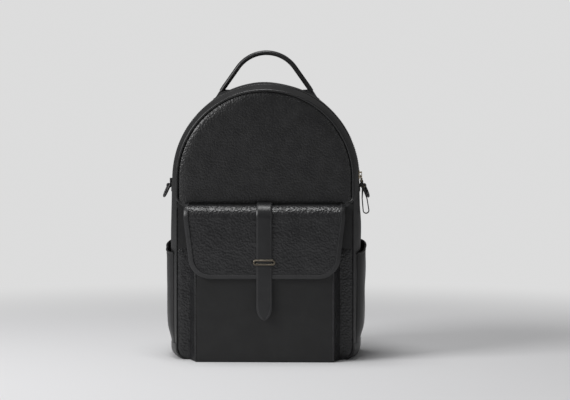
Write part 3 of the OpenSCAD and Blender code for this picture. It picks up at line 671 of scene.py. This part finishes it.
def base():
    """Leather tray under the bag, that wraps up its sides."""
    grid = []
    n = 10
    for k in range(29):
        y = Y_FRONT + 2.2 + (Y_BACK - 3.2 - Y_FRONT - 2.2) * k / 28
        w = side_r(y) + 1.4
        row = []
        for s in (-1, 1):
            half = [(w, BASE_WRAP + 0.4)]
            half += [(w - CORNER_R + CORNER_R * cos(pi / 2 * i / n),
                      CORNER_R - CORNER_R * sin(pi / 2 * i / n)) for i in range(n + 1)]
            half += [((w - CORNER_R) * (1 - i / 6), 0.0) for i in range(1, 7 if s < 0 else 6)]
            if s > 0:
                half = half[::-1]
            row += [(s * a, y, b) for a, b in half]
        grid.append(row)
    o = slab("base_tray", grid, 1.8, [SMOOTH, LINING], (0, 0, 60), angle=60)
    sewn(o, "base_panel")


def lower_front():
    """Grained lower front leather behind the pocket, and the smooth band above it."""
    y = low("lower_front_panel").y
    grid = []
    for i in range(49):
        x = FRONT_HALF * (2 * i / 48 - 1)
        inset = max(0.0, abs(x) - (FRONT_HALF - CORNER_R))
        z0 = 0.4 + CORNER_R - sqrt(max(0.0, CORNER_R ** 2 - inset ** 2))
        row = []
        for j in range(33):
            z = z0 + (LOWER_TOP - z0) * j / 32
            edge = smooth((FRONT_HALF - abs(x)) / 5.0)
            edge *= smooth((z - z0) / 6.0) * smooth((LOWER_TOP - z) / 4.0)
            row.append((x, y + 0.9 - 1.8 * edge + wobble((x, 0, z), 30.0, 0.5, 7.0), z))
        grid.append(row)
    o = slab("lower_front_leather", grid, 2.2, [PEBBLED, LINING], (0, 0, 90), angle=60)
    shell_piece(o, "grained_leather", "lower_front_panel")
    tall = BAND_TOP + 3 - LOWER_TOP
    grid = [[(FRONT_HALF * (2 * i / 24 - 1), Y_FRONT + 0.2, LOWER_TOP - 3 + tall * j / 8)
             for j in range(9)] for i in range(25)]
    o = slab("front_band_leather", grid, 1.6, [SMOOTH, LINING], (0, 0, 200))
    sewn(o, "front_band")
    lines = [[Vector((s * (POCKET_ROOT + 3.2), y - 0.7, z)) for z in (6, 90, LOWER_TOP - 2)] for s in (-1, 1)]
    o = stitches("lower_front_stitching", lines, lambda p: (0, -1, 0))
    shell_piece(o, "grained_leather")
    # seam allowance that stands up along both front edges below the piping
    out = FRONT_HALF + 0.3
    line = [(out - CORNER_R + CORNER_R * cos(a), CORNER_R - (CORNER_R - 1.4) * sin(a))
            for a in quarter(10)[::-1]]
    line += [(out, z) for z in np.linspace(CORNER_R, BAND_TOP - 6, 30)]
    for s, side in SIDES:
        path = [Vector((s * x, Y_FRONT + 0.1, z)) for x, z in line]
        o = tube("front_edge_roll_" + side, path, 1.2, SMOOTH)
        sewn(o)


# ---- front pocket ----


def pocket():
    top = POCKET_TOP
    grid = []
    for i in range(41):
        x = (POCKET_HALF - 0.5) * (2 * i / 40 - 1)
        row = []
        for j in range(41):
            z = 0.8 + (top - 0.8) * j / 40
            fill = cos(pi / 2 * abs(x) / POCKET_HALF) ** 0.7
            fill *= sin(pi * min(1, z / top)) ** 0.6
            row.append((x, POCKET_Y + 0.3 - 1.6 * fill + wobble((x, 0, z), 40.0, 0.5, 11.0), z))
        grid.append(row)
    o = slab("pocket_front_leather", grid, 1.8, [POCKET, LINING], (0, 0, 90), angle=60)
    sewn(o, "pocket_front")
    y0, y1 = POCKET_Y + 0.5, Y_FRONT - 0.3
    for s, side in SIDES:
        grid = []
        for j in range(31):
            z = 1.0 + (top - 4.0) * j / 30
            row = []
            for i in range(9):
                t = i / 8
                x = POCKET_HALF + (POCKET_ROOT - POCKET_HALF) * t - 2.2 * sin(pi * t)
                row.append((s * (x + wobble((s * x, t * 30, z), 22.0, 0.8, 13.0)), y0 + (y1 - y0) * t, z))
            grid.append(row)
        o = slab("pocket_side_leather_" + side, grid, 1.6, [PEBBLED, LINING], CENTRE, angle=60)
        shell_piece(o, "grained_leather", "pocket_gusset_" + side)
        edge = [Vector((s * (POCKET_HALF + 0.3), POCKET_Y + 0.9, z)) for z in np.linspace(1.5, top - 1, 40)]
        o = tube("pocket_edge_" + side, edge, 1.5, PEBBLED)
        shell_piece(o, "grained_leather")
    mouth = [Vector((x, POCKET_Y + 1.2, top)) for x in np.linspace(-POCKET_HALF, POCKET_HALF, 30)]
    o = tube("pocket_top_binding", mouth, 1.7, SMOOTH)
    sewn(o)
    softened("pocket_base", SMOOTH, 0.5)


# ---- flap and strap ----

BEND_C = (FLAP_Y + FLAP_BEND_R, FLAP_TOP - FLAP_BEND_R)
FLAP_ROOT_Y = Y_FRONT - 0.4
RUN_TOP = FLAP_ROOT_Y - BEND_C[0]
RUN_BEND = RUN_TOP + FLAP_BEND_R * pi / 2
RUN_END = RUN_BEND + BEND_C[1] - FLAP_BOTTOM
HINGE_Y = joint_point("flap_open").y
FLAP_JOINT = ((0, HINGE_Y + 8, FLAP_TOP), (0, HINGE_Y - 9, FLAP_TOP))


def on_flap(o, slot, *nodes):
    """A piece across the root of the flap, baked in place; it does not bend."""
    return blended(o, slot, "shell", "flap", *FLAP_JOINT, *nodes)


def flap_profile(s, off):
    """Side view of the flap: the point (y, z) at run s from its root, at a height off above it."""
    if s <= RUN_TOP:
        return FLAP_ROOT_Y - s, FLAP_TOP + off
    if s <= RUN_BEND:
        a = pi / 2 + (s - RUN_TOP) / FLAP_BEND_R
        r = FLAP_BEND_R + off
        return BEND_C[0] + r * cos(a), BEND_C[1] + r * sin(a)
    return FLAP_Y - off, BEND_C[1] - (s - RUN_BEND)


def flap_point(x, s, off):
    return (x, *flap_profile(s, off))


def flap_normal(p):
    """Outward direction of the flap near a point."""
    if p.y > BEND_C[0]:
        return (0, 0, 1)
    if p.z < BEND_C[1]:
        return (0, -1, 0)
    return (0, p.y - BEND_C[0], p.z - BEND_C[1])


def flap_half(s):
    """Half width of the flap at run s."""
    z = BEND_C[1] - (s - RUN_BEND)
    if s <= RUN_BEND:
        return FLAP_HALF
    corner = FLAP_BOTTOM + FLAP_CORNER_R
    if z >= corner:
        t = (BEND_C[1] - z) / (BEND_C[1] - corner)
        return FLAP_HALF + (FLAP_LOW_HALF - FLAP_HALF) * t
    return FLAP_LOW_HALF - FLAP_CORNER_R + sqrt(max(0.0, FLAP_CORNER_R ** 2 - (corner - z) ** 2))


def flap_outline(inset):
    """Round the flap's free edge, from its root on the left to its root on the right, as (x, run)."""
    corner_run = RUN_END - FLAP_CORNER_R
    right = [(flap_half(s) - inset, s) for s in np.linspace(0.0, corner_run, 40)]
    c = (FLAP_LOW_HALF - FLAP_CORNER_R, corner_run)
    r = FLAP_CORNER_R - inset
    right += [(c[0] + r * cos(a), c[1] + r * sin(a)) for a in quarter(14)]
    bottom = [(x, RUN_END - inset) for x in np.linspace(c[0], -c[0], 24)[1:-1]]
    return [(-x, s) for x, s in right] + [(-x, s) for x, s in bottom] + [(x, s) for x, s in right[::-1]]


def flap_swell(x, s):
    """How far the flap's middle puffs out below its bend, most at half its drop and less towards its sides.
    """
    t = max(0.0, s - RUN_BEND) / (RUN_END - RUN_BEND)
    return 0.8 * sin(pi * min(1.0, t)) * (1 - (abs(x) / FLAP_HALF) ** 2)


def flap():
    grid = []
    n, m = 60, 60
    runs = [RUN_END * j / m for j in range(m)] + [RUN_END]
    runs = sorted(set(runs + [RUN_END - 0.4, RUN_END - 1.5, RUN_END - 3.5]))
    for i in range(n + 1):
        u = 2 * i / n - 1
        row = []
        for s in runs:
            x = u * (flap_half(s) - 0.6)
            off = flap_swell(x, s) + wobble((x, 0, s), 38.0, 0.7, 17.0)
            row.append(flap_point(x, s, off))
        grid.append(row)
    o = slab("flap_leather", grid, FLAP_T, [PEBBLED, LINING], (0, Y_FRONT + 60, 120), angle=60)
    on_flap(o, "grained_leather", "flap", "flap_root")
    # raised and painted band round the free edge
    outer, mid, inner = flap_outline(-0.5), flap_outline(0.6), flap_outline(6.4)
    lip = flap_outline(7.2)
    grid = []
    for (a, sa), (b, sb), (c, sc), (d, sd) in zip(outer, mid, inner, lip):
        grid.append([flap_point(a, sa, -FLAP_T - 0.2), flap_point(a, sa, 0.0),
                     flap_point(b, sb, flap_swell(b, sb) + 0.95),
                     flap_point(c, sc, flap_swell(c, sc) + 1.15),
                     flap_point(d, sd, flap_swell(d, sd) - 0.5)])
    o = slab("flap_edge_band", grid, 0.7, [STRAP, STRAP], (0, Y_FRONT, 190), angle=60)
    on_flap(o, "smooth_leather")
    path = [Vector(flap_point(x, s, flap_swell(x, s) + 1.1)) for x, s in flap_outline(4.8)]
    o = stitches("flap_stitching", [path], flap_normal)
    on_flap(o, "smooth_leather")


def strap_half(s, tip_run):
    """Half width of the closing strap, that draws to a point at its tip."""
    nose = 20.0
    left = tip_run - s
    if left >= nose:
        return STRAP_HALF
    t = max(0.0, left / nose)
    return STRAP_HALF * sqrt(max(0.0, 1 - (1 - t) ** 2)) ** 1.15


def strap_piece(name, s0, s1, tip_run):
    grid = []
    rows = max(14, int((s1 - s0) / 2.5))
    runs = list(np.linspace(s0, s1, rows))
    if s1 == tip_run:
        runs = sorted(set(list(runs) + [tip_run - d for d in (0.15, 0.6, 1.4)]))
    for i in range(17):
        u = 2 * i / 16 - 1
        row = []
        for s in runs:
            half = max(0.3, strap_half(s, tip_run))
            edge = smooth((1 - abs(u)) * half / 2.2)
            x = u * half
            row.append(flap_point(x, s, STRAP_OFF - 0.9 + 0.9 * edge))
        grid.append(row)
    return slab(name, grid, STRAP_T - 0.6, [STRAP, EDGE], (0, Y_FRONT + 60, 120), angle=60)


def strap():
    tip_run = RUN_BEND + BEND_C[1] - TONGUE_TIP
    split = RUN_BEND + BEND_C[1] - TONGUE_TOP
    o = strap_piece("strap_leather_upper", -CROWN * 0.2, split, tip_run)
    on_flap(o, "smooth_leather", "strap", "strap_root")
    o = strap_piece("strap_leather_tongue", split + 0.3, tip_run, tip_run)
    tongue_joint = ((0, FLAP_Y - STRAP_OFF, TONGUE_TOP + 1), (0, FLAP_Y - STRAP_OFF, TONGUE_TOP - 9))
    blended(o, "smooth_leather", "flap", "tongue", *tongue_joint, "strap_tongue")
    inset = 2.4
    lie = STRAP_OFF - 0.05

    def row(s, run):
        return Vector(flap_point(s * max(0.0, strap_half(run + 1.2, tip_run) - inset), run, lie))

    up = [[Vector(flap_point(s * (STRAP_HALF - inset), run, lie)) for run in np.linspace(3, split - 10, 60)]
          for s in (-1, 1)]
    tongue = [[row(s, run) for run in np.linspace(split + 4, tip_run - 3.4, 40)] for s in (-1, 1)]
    o = stitches("strap_stitching_upper", up, flap_normal)
    on_flap(o, "smooth_leather")
    o = stitches("strap_stitching_tongue", tongue, lambda p: (0, -1, 0))
    blended(o, "smooth_leather", "flap", "tongue", *tongue_joint)


def stadium(w, h, n=12):
    r = h / 2
    pts = []
    for s in (1, -1):
        for i in range(n + 1):
            a = -pi / 2 + pi * i / n
            pts.append((s * (w / 2 - r + r * cos(a)), s * r * sin(a)))
    return pts


def keeper():
    w = KEEPER_HI.x - KEEPER_LO.x
    h = KEEPER_HI.z - KEEPER_LO.z
    zc = (KEEPER_HI.z + KEEPER_LO.z) / 2
    r = 1.35
    y = KEEPER_LO.y + r + 0.1
    path = [Vector((x, y, zc + z)) for x, z in stadium(w - 2 * r, h - 2 * r)]
    o = tube("keeper_frame", path, r, GUN, closed=True, n=14)
    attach(o, "flap")
    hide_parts("strap_keeper")
    for s, side in SIDES:
        post = [Vector((s * (w / 2 - 1.9), y + d, zc)) for d in (0.0, 2.0, FLAP_Y - y - 0.2)]
        o = tube("keeper_post_" + side, post, 1.1, GUN)
        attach(o, "flap")


def snap():
    softened("snap_stud", STEEL, 0.4)
    softened("snap_socket", STEEL, 0.4)


# ---- zipper, slider and pull ----


def zipper():
    for node in ("zip_tape_front", "zip_tape_rear"):
        painted(node, TAPE)
    for node in ("zip_teeth_front", "zip_teeth_rear", "zip_stops"):
        softened(node, BRASS, 0.35, 1)
    for node, bevel in (("zip_slider", 0.35), ("pull_ring", 0), ("pull_rivet", 0.25)):
        softened(node, BRASS, bevel)
    painted("pull_loop", SMOOTH)
    softened("zip_end_patches", SMOOTH, 0.3)
    # folded leather edges along both sides of the tape
    o = tube("zip_edge_rear", around(ZIP_Y + ZIP_HALF_GAP + 0.4, 0.8, SEAM_Z - 2, 4, 96), 0.9, SMOOTH, n=10)
    sewn(o)
    line = around(ZIP_Y - ZIP_HALF_GAP - 0.4, 2.9, SEAM_Z + 0.5, 4, 96)
    o = tube("zip_edge_front", line, 0.9, SMOOTH, n=10)
    on_lid(o, "smooth_leather")
    rear = around(ZIP_Y + ZIP_HALF_GAP + 3.2, -0.1, SEAM_Z - 2, 4, 96)
    front = around(ZIP_Y - ZIP_HALF_GAP - 3.2, 1.75, SEAM_Z + 9, 4, 96)

    def outward(p):
        return (p.x, 0, p.z - min(p.z, ARCH_Z))

    o = stitches("zip_stitching_rear", [rear], outward)
    sewn(o)
    o = stitches("zip_stitching_front", [front], outward)
    on_lid(o, "smooth_leather")


# ---- handle ----


def handle():
    hi = high("handle")
    hinge = joint_point("handle_tilt")
    thick, deep = 7.2, 13.2
    r = HANDLE_R - thick / 2
    cz = hi.z - HANDLE_R
    sweep_a = radians(55)
    foot_x = hi.x - 4.0
    end = (r * sin(sweep_a), cz + r * cos(sweep_a))
    foot = (foot_x, hinge.z + 0.4)
    right = [(r * sin(a), cz + r * cos(a)) for a in np.linspace(0, sweep_a, 22)]
    fall = (foot[0] - end[0], foot[1] - end[1])
    right += [(end[0] + fall[0] * t, end[1] + fall[1] * t) for t in np.linspace(0, 1, 16)[1:]]
    # below the hinge the leg runs on into its tab
    right += [(foot[0] + 3.4 * t, foot[1] - 5.6 * t) for t in (0.5, 1.0)]
    path = [(-x, z) for x, z in right[::-1]] + right[1:]
    pts = [Vector((x, hinge.y, z)) for x, z in path]
    section = []
    for k in range(20):
        a = 2 * pi * k / 20
        ca, sa = cos(a), sin(a)
        section.append((deep / 2 * copysign(abs(ca) ** 0.8, ca),
                        thick / 2 * copysign(abs(sa) ** 0.9, sa)))
    o = sweep("handle_leather", pts, section, SMOOTH)
    start, stop = (0, hinge.y, hinge.z - 2), (0, hinge.y, hinge.z + 9)
    blended(o, "smooth_leather", "shell", "handle", start, stop, "handle")
    # tabs sewn to the top, that the handle grows out of
    for s, side in SIDES:
        grid = []
        n, m = 20, 14
        a_foot = acos(min(1.0, foot[0] / (ZIP_HALF + BULGE)))
        for i in range(n + 1):
            t = i / n
            a = a_foot + 0.075 - 0.20 * t
            row = []
            for j in range(m + 1):
                v = 2 * j / m - 1
                width = 12.5 - 1.5 * abs(2 * t - 1) ** 2
                y = hinge.y + v * width
                lift = 0.9 + 5.4 * smooth(1 - abs(t - 0.42) / 0.5) * smooth(1 - abs(v) * 1.1)
                rad = side_r(y) + lift * smooth((1 - abs(v)) / 0.12 + 0.35)
                row.append((s * rad * cos(a), y, ARCH_Z + rad * sin(a)))
            grid.append(row)
        o = slab("handle_tab_leather_" + side, grid, 1.2, [SMOOTH, SMOOTH], (0, hinge.y, ARCH_Z), angle=60)
        sewn(o, "handle_tab_" + side)


# ---- side pockets and rings ----


def side_pockets():
    for s, side in SIDES:
        lo, hi = low("side_pocket_" + side), high("side_pocket_" + side)
        y0, y1 = lo.y, hi.y
        z0 = lo.z - 4
        out = 7.4
        drop = 14.0
        n, m = 32, 26
        grid, rim = [], []
        for i in range(n + 1):
            t = i / n
            y = y0 + (y1 - y0) * t
            top = hi.z - drop * (1 - t)
            row = []
            for j in range(m + 1):
                v = j / m
                z = z0 + (top - z0) * v
                puff = max(0.0, sin(pi * t)) ** 0.45
                tall = smooth(v / 0.22) * (0.82 + 0.18 * v)
                x = side_r(y) + spread(y, z) + 0.5 + (out - 0.6) * puff * tall
                x += wobble((s * 100, y, z), 30.0, 0.9, 19.0) * puff
                row.append((s * x, y, z))
            grid.append(row)
            rim.append(Vector(row[-1]))
        o = slab("side_pocket_leather_" + side, grid, 1.6, [SMOOTH, LINING], CENTRE, angle=60)
        sewn(o, "side_pocket_" + side)
        o = tube("side_pocket_rim_" + side, rim, 1.25, SMOOTH)
        sewn(o)
        line = [p + Vector((s * 0.1, 0, -5.0)) for p in rim[2:-2]]
        o = stitches("side_pocket_stitching_" + side, [line], lambda p, s=s: (s, 0, 0))
        sewn(o)


def rings():
    for side in ("left", "right"):
        painted("side_ring_" + side, BLACK_METAL)
        softened("ring_tab_" + side, SMOOTH, 0.4)


# ---- back ----


def back():
    softened("back_panel", SMOOTH, 0.8)
    for node in ("base_board", "back_board"):
        painted(node, LINING)
    softened("laptop_sleeve", LINING, 1.2)
    r = side_r(Y_BACK) + 0.9
    path = []
    for x, z, nx, nz in stations(CORNER_R, 24, 80):
        path.append(Vector((x + nx * r, Y_BACK - 1.3, z + nz * r)))
    turn = [Vector((r - CORNER_R + CORNER_R * cos(a), Y_BACK - 1.3,
                    CORNER_R - (CORNER_R - 2.2) * sin(a))) for a in quarter(10)]
    path = [Vector((-p.x, p.y, p.z)) for p in turn[::-1]] + path + turn
    o = tube("rear_piping_bead", path, 1.9, SMOOTH)
    shell_piece(o, "piping", "rear_piping")
    for s, side in SIDES:
        cushion(s, side)


PAD_CHANNELS = (0.25, 0.5, 0.75)


def cushion_point(u, v, lo, hi):
    """A point on the face of the right cushion, with its round corners and pressed channels."""
    corner, pillow = 18.0, 15.0
    x, z = lo.x + (hi.x - lo.x) * u, lo.z + (hi.z - lo.z) * v
    du, dv = min(u, 1 - u) * (hi.x - lo.x), min(v, 1 - v) * (hi.z - lo.z)
    inside = min(du, dv)
    if du < corner and dv < corner:
        away = hypot(corner - du, corner - dv)
        inside = max(0.0, corner - away)
        if away > corner:
            cx = lo.x + corner if u < 0.5 else hi.x - corner
            cz = lo.z + corner if v < 0.5 else hi.z - corner
            x, z = cx + (x - cx) * corner / away, cz + (z - cz) * corner / away
    h = (hi.y - Y_BACK - 2.0) * (1 - (1 - min(1.0, inside / pillow)) ** 2.2)
    for c in PAD_CHANNELS:
        h -= 4.6 * exp(-((v - c) * (hi.z - lo.z) / 4.0) ** 2) * smooth(inside / 10)
    return x, Y_BACK + 3.0 + max(0.2, h), z


def cushion(s, side):
    """Closed cushion on the back, blown up as cloth between its channels."""
    lo, hi = low("back_pads"), high("back_pads")
    lo.x = 11.0
    n, m = 30, 72
    face = [cushion_point(i / n, j / m, lo, hi) for i in range(n + 1) for j in range(m + 1)]
    verts = [(s * x, y, z) for x, y, z in face] + [(s * x, Y_BACK + 0.4, z) for x, _, z in face]
    size, wide = len(face), m + 1
    faces = []
    for i in range(n):
        for j in range(m):
            q = (i * wide + j, (i + 1) * wide + j, (i + 1) * wide + j + 1, i * wide + j + 1)
            faces += [q, tuple(size + k for k in q[::-1])]
    rim = [i * wide for i in range(n + 1)] + [n * wide + j for j in range(1, m + 1)]
    rim += [i * wide + m for i in range(n - 1, -1, -1)] + list(range(m - 1, 0, -1))
    faces += [(a, size + a, size + b, b) for a, b in zip(rim, rim[1:] + rim[:1])]
    o = make_object("back_pad_" + side, verts, faces, [MESH], None, 70)
    channels = [lo.z + (hi.z - lo.z) * c for c in PAD_CHANNELS]

    def held(q):
        return q.y < Y_BACK + 3.5 or min(abs(q.z - c) for c in channels) < 3.2

    puffed(o, held, 4.5, 2.5)
    shell_piece(o, "pad_mesh")
    if s < 0:
        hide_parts("back_pads")


# ---- shoulder straps ----


def spline(points):
    """A smooth line through points."""
    per = 6
    p = [Vector(q) for q in points]
    p = [p[0] * 2 - p[1]] + p + [p[-1] * 2 - p[-2]]
    out = []
    for i in range(1, len(p) - 2):
        for k in range(per):
            t = k / per
            a, b, c, d = p[i - 1], p[i], p[i + 1], p[i + 2]
            out.append(0.5 * ((2 * b) + (c - a) * t + (2 * a - 5 * b + 4 * c - d) * t * t
                              + (3 * b - a - 3 * c + d) * t ** 3))
    out.append(p[-2])
    return out


def shoulder_route():
    """Middle line of the right strap, as parts of the half width, of its reach and of its height."""
    reach = high("shoulder_strap_right").y - 5.0 - Y_BACK
    top = joint_point("shoulder_right_swing").z
    table = ((0.237, 0.286, 1.0), (0.244, 0.49, 1.045), (0.258, 0.755, 1.049), (0.287, 0.918, 1.0),
             (0.323, 0.98, 0.91), (0.366, 1.0, 0.794), (0.416, 1.0, 0.65), (0.473, 0.98, 0.516),
             (0.53, 0.939, 0.381), (0.588, 0.878, 0.247), (0.638, 0.796, 0.112), (0.674, 0.714, 0.0))
    return [(a * ZIP_HALF, Y_BACK + b * reach, STRAP_LOW + c * (top - STRAP_LOW)) for a, b, c in table]


def strap_frame(path, i):
    a = path[max(0, i - 1)]
    b = path[min(len(path) - 1, i + 1)]
    t = (b - a).normalized()
    side = (Vector((1, 0, 0)) - t * t.x).normalized()
    return t, side, t.cross(side)


def shoulder_straps():
    route = shoulder_route()
    anchor = Vector((0.803 * ZIP_HALF, Y_BACK + 11, 34))
    end = Vector(route[-1])
    toward = (anchor - end).normalized()
    for s, side_name in SIDES:
        body = "shoulder_" + side_name
        joint = joints["shoulder_" + side_name + "_swing"]
        first = Vector(route[0])
        lead = [Vector((first.x, Y_BACK + 5.0, first.z - 7.5)),
                Vector((first.x, Y_BACK + 8.5, first.z - 4.5))]
        path = spline(lead + [Vector(p) for p in route])
        n = len(path)
        widths = []
        for i in range(n):
            t = i / (n - 1)
            w = 22 + 7.5 * smooth((t - 0.02) / 0.32)
            w -= 9.5 * smooth((t - 0.78) / 0.22)
            widths.append(min(w, 28.6) if t > 0.2 else min(w, 18 + 40 * t))
        rings, edge_l, edge_r = [], [], []
        m = 28
        for i, p in enumerate(path):
            _, side, up = strap_frame(path, i)
            w = widths[i]
            ring = []
            for k in range(m):
                a = 2 * pi * k / m
                ca, sa = cos(a), sin(a)
                x = w * copysign(abs(ca) ** 0.55, ca)
                h = 4.7 * copysign(abs(sa) ** 0.75, sa) * (1 - 0.55 * abs(ca) ** 4)
                q = p + side * x + up * h
                ring.append((s * q.x, q.y, q.z))
            rings.append(ring)
            for store, d in ((edge_l, -1), (edge_r, 1)):
                q = p + side * (d * w)
                store.append(Vector((s * q.x, q.y, q.z)))
        verts = [v for ring in rings for v in ring]
        faces = [(i * m + k, i * m + (k + 1) % m, (i + 1) * m + (k + 1) % m, (i + 1) * m + k)
                 for i in range(n - 1) for k in range(m)]
        faces.append(tuple(range(m))[::-1])
        faces.append(tuple((n - 1) * m + k for k in range(m)))
        o = make_object("shoulder_pad_" + side_name, verts, faces, [PEBBLED], None, 70)
        seams = KDTree(len(edge_l) + len(edge_r))
        for k, q in enumerate(edge_l + edge_r):
            seams.insert(q, k)
        seams.balance()
        puffed(o, lambda q: seams.find(q)[2] < 6.5, 5.0, 1.6)
        hinge = Vector(joint["pos_m"]) / MM
        start, stop = (hinge.x, Y_BACK + 6, hinge.z - 8), (hinge.x, Y_BACK + 24, hinge.z + 8)
        blended(o, "grained_leather", "shell", body, start, stop, "shoulder_strap_" + side_name)
        for tag, edge in (("inner", edge_l), ("outer", edge_r)):
            o = tube("shoulder_binding_" + tag + "_" + side_name, edge[3:], 1.3, SMOOTH, n=8)
            blended(o, "smooth_leather", "shell", body, start, stop)
        # the short loop under the pad, that holds the buckle
        loop = [end - toward * 6, end + toward * 4, end + toward * 14.6]
        grid = []
        for u in np.linspace(-1, 1, 7):
            row = []
            for p in loop:
                side = (Vector((1, 0, 0)) - toward * toward.x).normalized()
                up = toward.cross(side)
                q = p + side * (u * 12.3) + up * 1.5
                row.append((s * q.x, q.y, q.z))
            grid.append(row)
        o = slab("buckle_loop_" + side_name, grid, 3.0, [SMOOTH, SMOOTH], (0, 0, 100))
        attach(o, body)
        softened("strap_buckle_" + side_name, GUN, 0.4)
        softened("webbing_" + side_name, WEBBING, 0.4)
        for node, bevel in (("tail_keeper_", 0.4), ("lower_anchor_", 0.8)):
            softened(node + side_name, SMOOTH, bevel)
    softened("strap_yoke", SMOOTH, 1.0)
    lo, hi = low("strap_yoke"), high("strap_yoke")
    half, mid, r = hi.x - 14, (lo.z + hi.z) / 2, 10.5
    ring = [Vector((half + r * sin(a), Y_BACK + 3.35, mid - r * cos(a)))
            for a in (pi * k / 12 for k in range(13))]
    ring += [Vector((-p.x, p.y, p.z)) for p in ring[::-1]]
    o = stitches("yoke_stitching", [ring + [ring[0]]], lambda p: (0, 1, 0))
    sewn(o)


# ---- stage, light and camera ----


def stage():
    pale = new_material("pale_paper", (0.72, 0.72, 0.73), 0.9)
    half = 6000.0
    corners = [(-half, -half, 0.0), (half, -half, 0.0), (half, half, 0.0), (-half, half, 0.0)]
    o = make_object("paper_floor", corners, [(0, 1, 2, 3)], [pale])
    # away from the bag the paper passes into the pale backdrop, seen by the camera alone
    link = pale.node_tree.links.new
    place = add_node(pale, "ShaderNodeTexCoord")
    reach = add_node(pale, "ShaderNodeVectorMath", operation="LENGTH")
    link(place.outputs["Object"], reach.inputs[0])
    fade = add_node(pale, "ShaderNodeMapRange", interpolation_type="SMOOTHSTEP", From_Min=0.45, From_Max=1.3)
    link(reach.outputs["Value"], fade.inputs["Value"])
    seen = add_node(pale, "ShaderNodeLightPath")
    share = add_node(pale, "ShaderNodeMath", operation="MULTIPLY")
    link(fade.outputs["Result"], share.inputs[0])
    link(seen.outputs["Is Camera Ray"], share.inputs[1])
    glow = add_node(pale, "ShaderNodeEmission", Color=(0.72, 0.72, 0.72, 1), Strength=1.0)
    mixed = add_node(pale, "ShaderNodeMixShader")
    link(share.outputs["Value"], mixed.inputs[0])
    link(pale.node_tree.nodes["Principled BSDF"].outputs["BSDF"], mixed.inputs[1])
    link(glow.outputs["Emission"], mixed.inputs[2])
    link(mixed.outputs["Shader"], pale.node_tree.nodes["Material Output"].inputs["Surface"])

    def softbox(name, at, aim, size, watts):
        light = bpy.data.lights.new(name, "AREA")
        light.shape = "RECTANGLE"
        light.size, light.size_y = size
        light.energy = watts
        lamp = bpy.data.objects.new(name, light)
        lamp.location = at
        lamp.rotation_euler = (Vector(aim) - Vector(at)).to_track_quat("-Z", "Y").to_euler()
        bpy.context.scene.collection.objects.link(lamp)

    softbox("key", (-1.8, -1.2, 1.5), (0, 0, 0.27), (1.1, 1.1), 44)
    softbox("top", (-0.2, -0.1, 2.0), (0, 0, 0.3), (1.1, 0.7), 20)
    softbox("fill", (1.9, -1.7, 0.9), (0, 0, 0.25), (1.0, 1.0), 3)
    # the world lights the object softly, and shows as a pale backdrop
    world = bpy.data.worlds.new("studio")
    world.use_nodes = True
    back = world.node_tree.nodes["Background"]
    back.inputs["Color"].default_value = (0.8, 0.8, 0.8, 1)
    rays = add_node(world, "ShaderNodeLightPath")
    shown = add_node(world, "ShaderNodeMapRange", To_Min=0.16, To_Max=0.9)
    world.node_tree.links.new(rays.outputs["Is Camera Ray"], shown.inputs["Value"])
    world.node_tree.links.new(shown.outputs["Result"], back.inputs["Strength"])
    bpy.context.scene.world = world
    scene = bpy.context.scene
    scene.view_settings.view_transform = "Standard"
    cam_data = bpy.data.cameras.new("camera")
    cam_data.lens = 126
    cam_data.sensor_width = 36
    cam_data.shift_x = 0.033
    cam_data.shift_y = 0.026
    cam = bpy.data.objects.new("camera", cam_data)
    azimuth, elevation, distance = radians(1.5), radians(3.0), 3.0
    aim = Vector((0.0, 0.0, 0.21))
    back = Vector((sin(azimuth) * cos(elevation), -cos(azimuth) * cos(elevation), sin(elevation)))
    cam.location = aim + back * distance
    cam.rotation_euler = (-back).to_track_quat("-Z", "Y").to_euler()
    scene.collection.objects.link(cam)
    scene.camera = cam


for build in (body_skins, upper_panel, base, lower_front, pocket, flap, strap, keeper, snap, zipper, handle,
              side_pockets, rings, back, shoulder_straps):
    build()
stage()
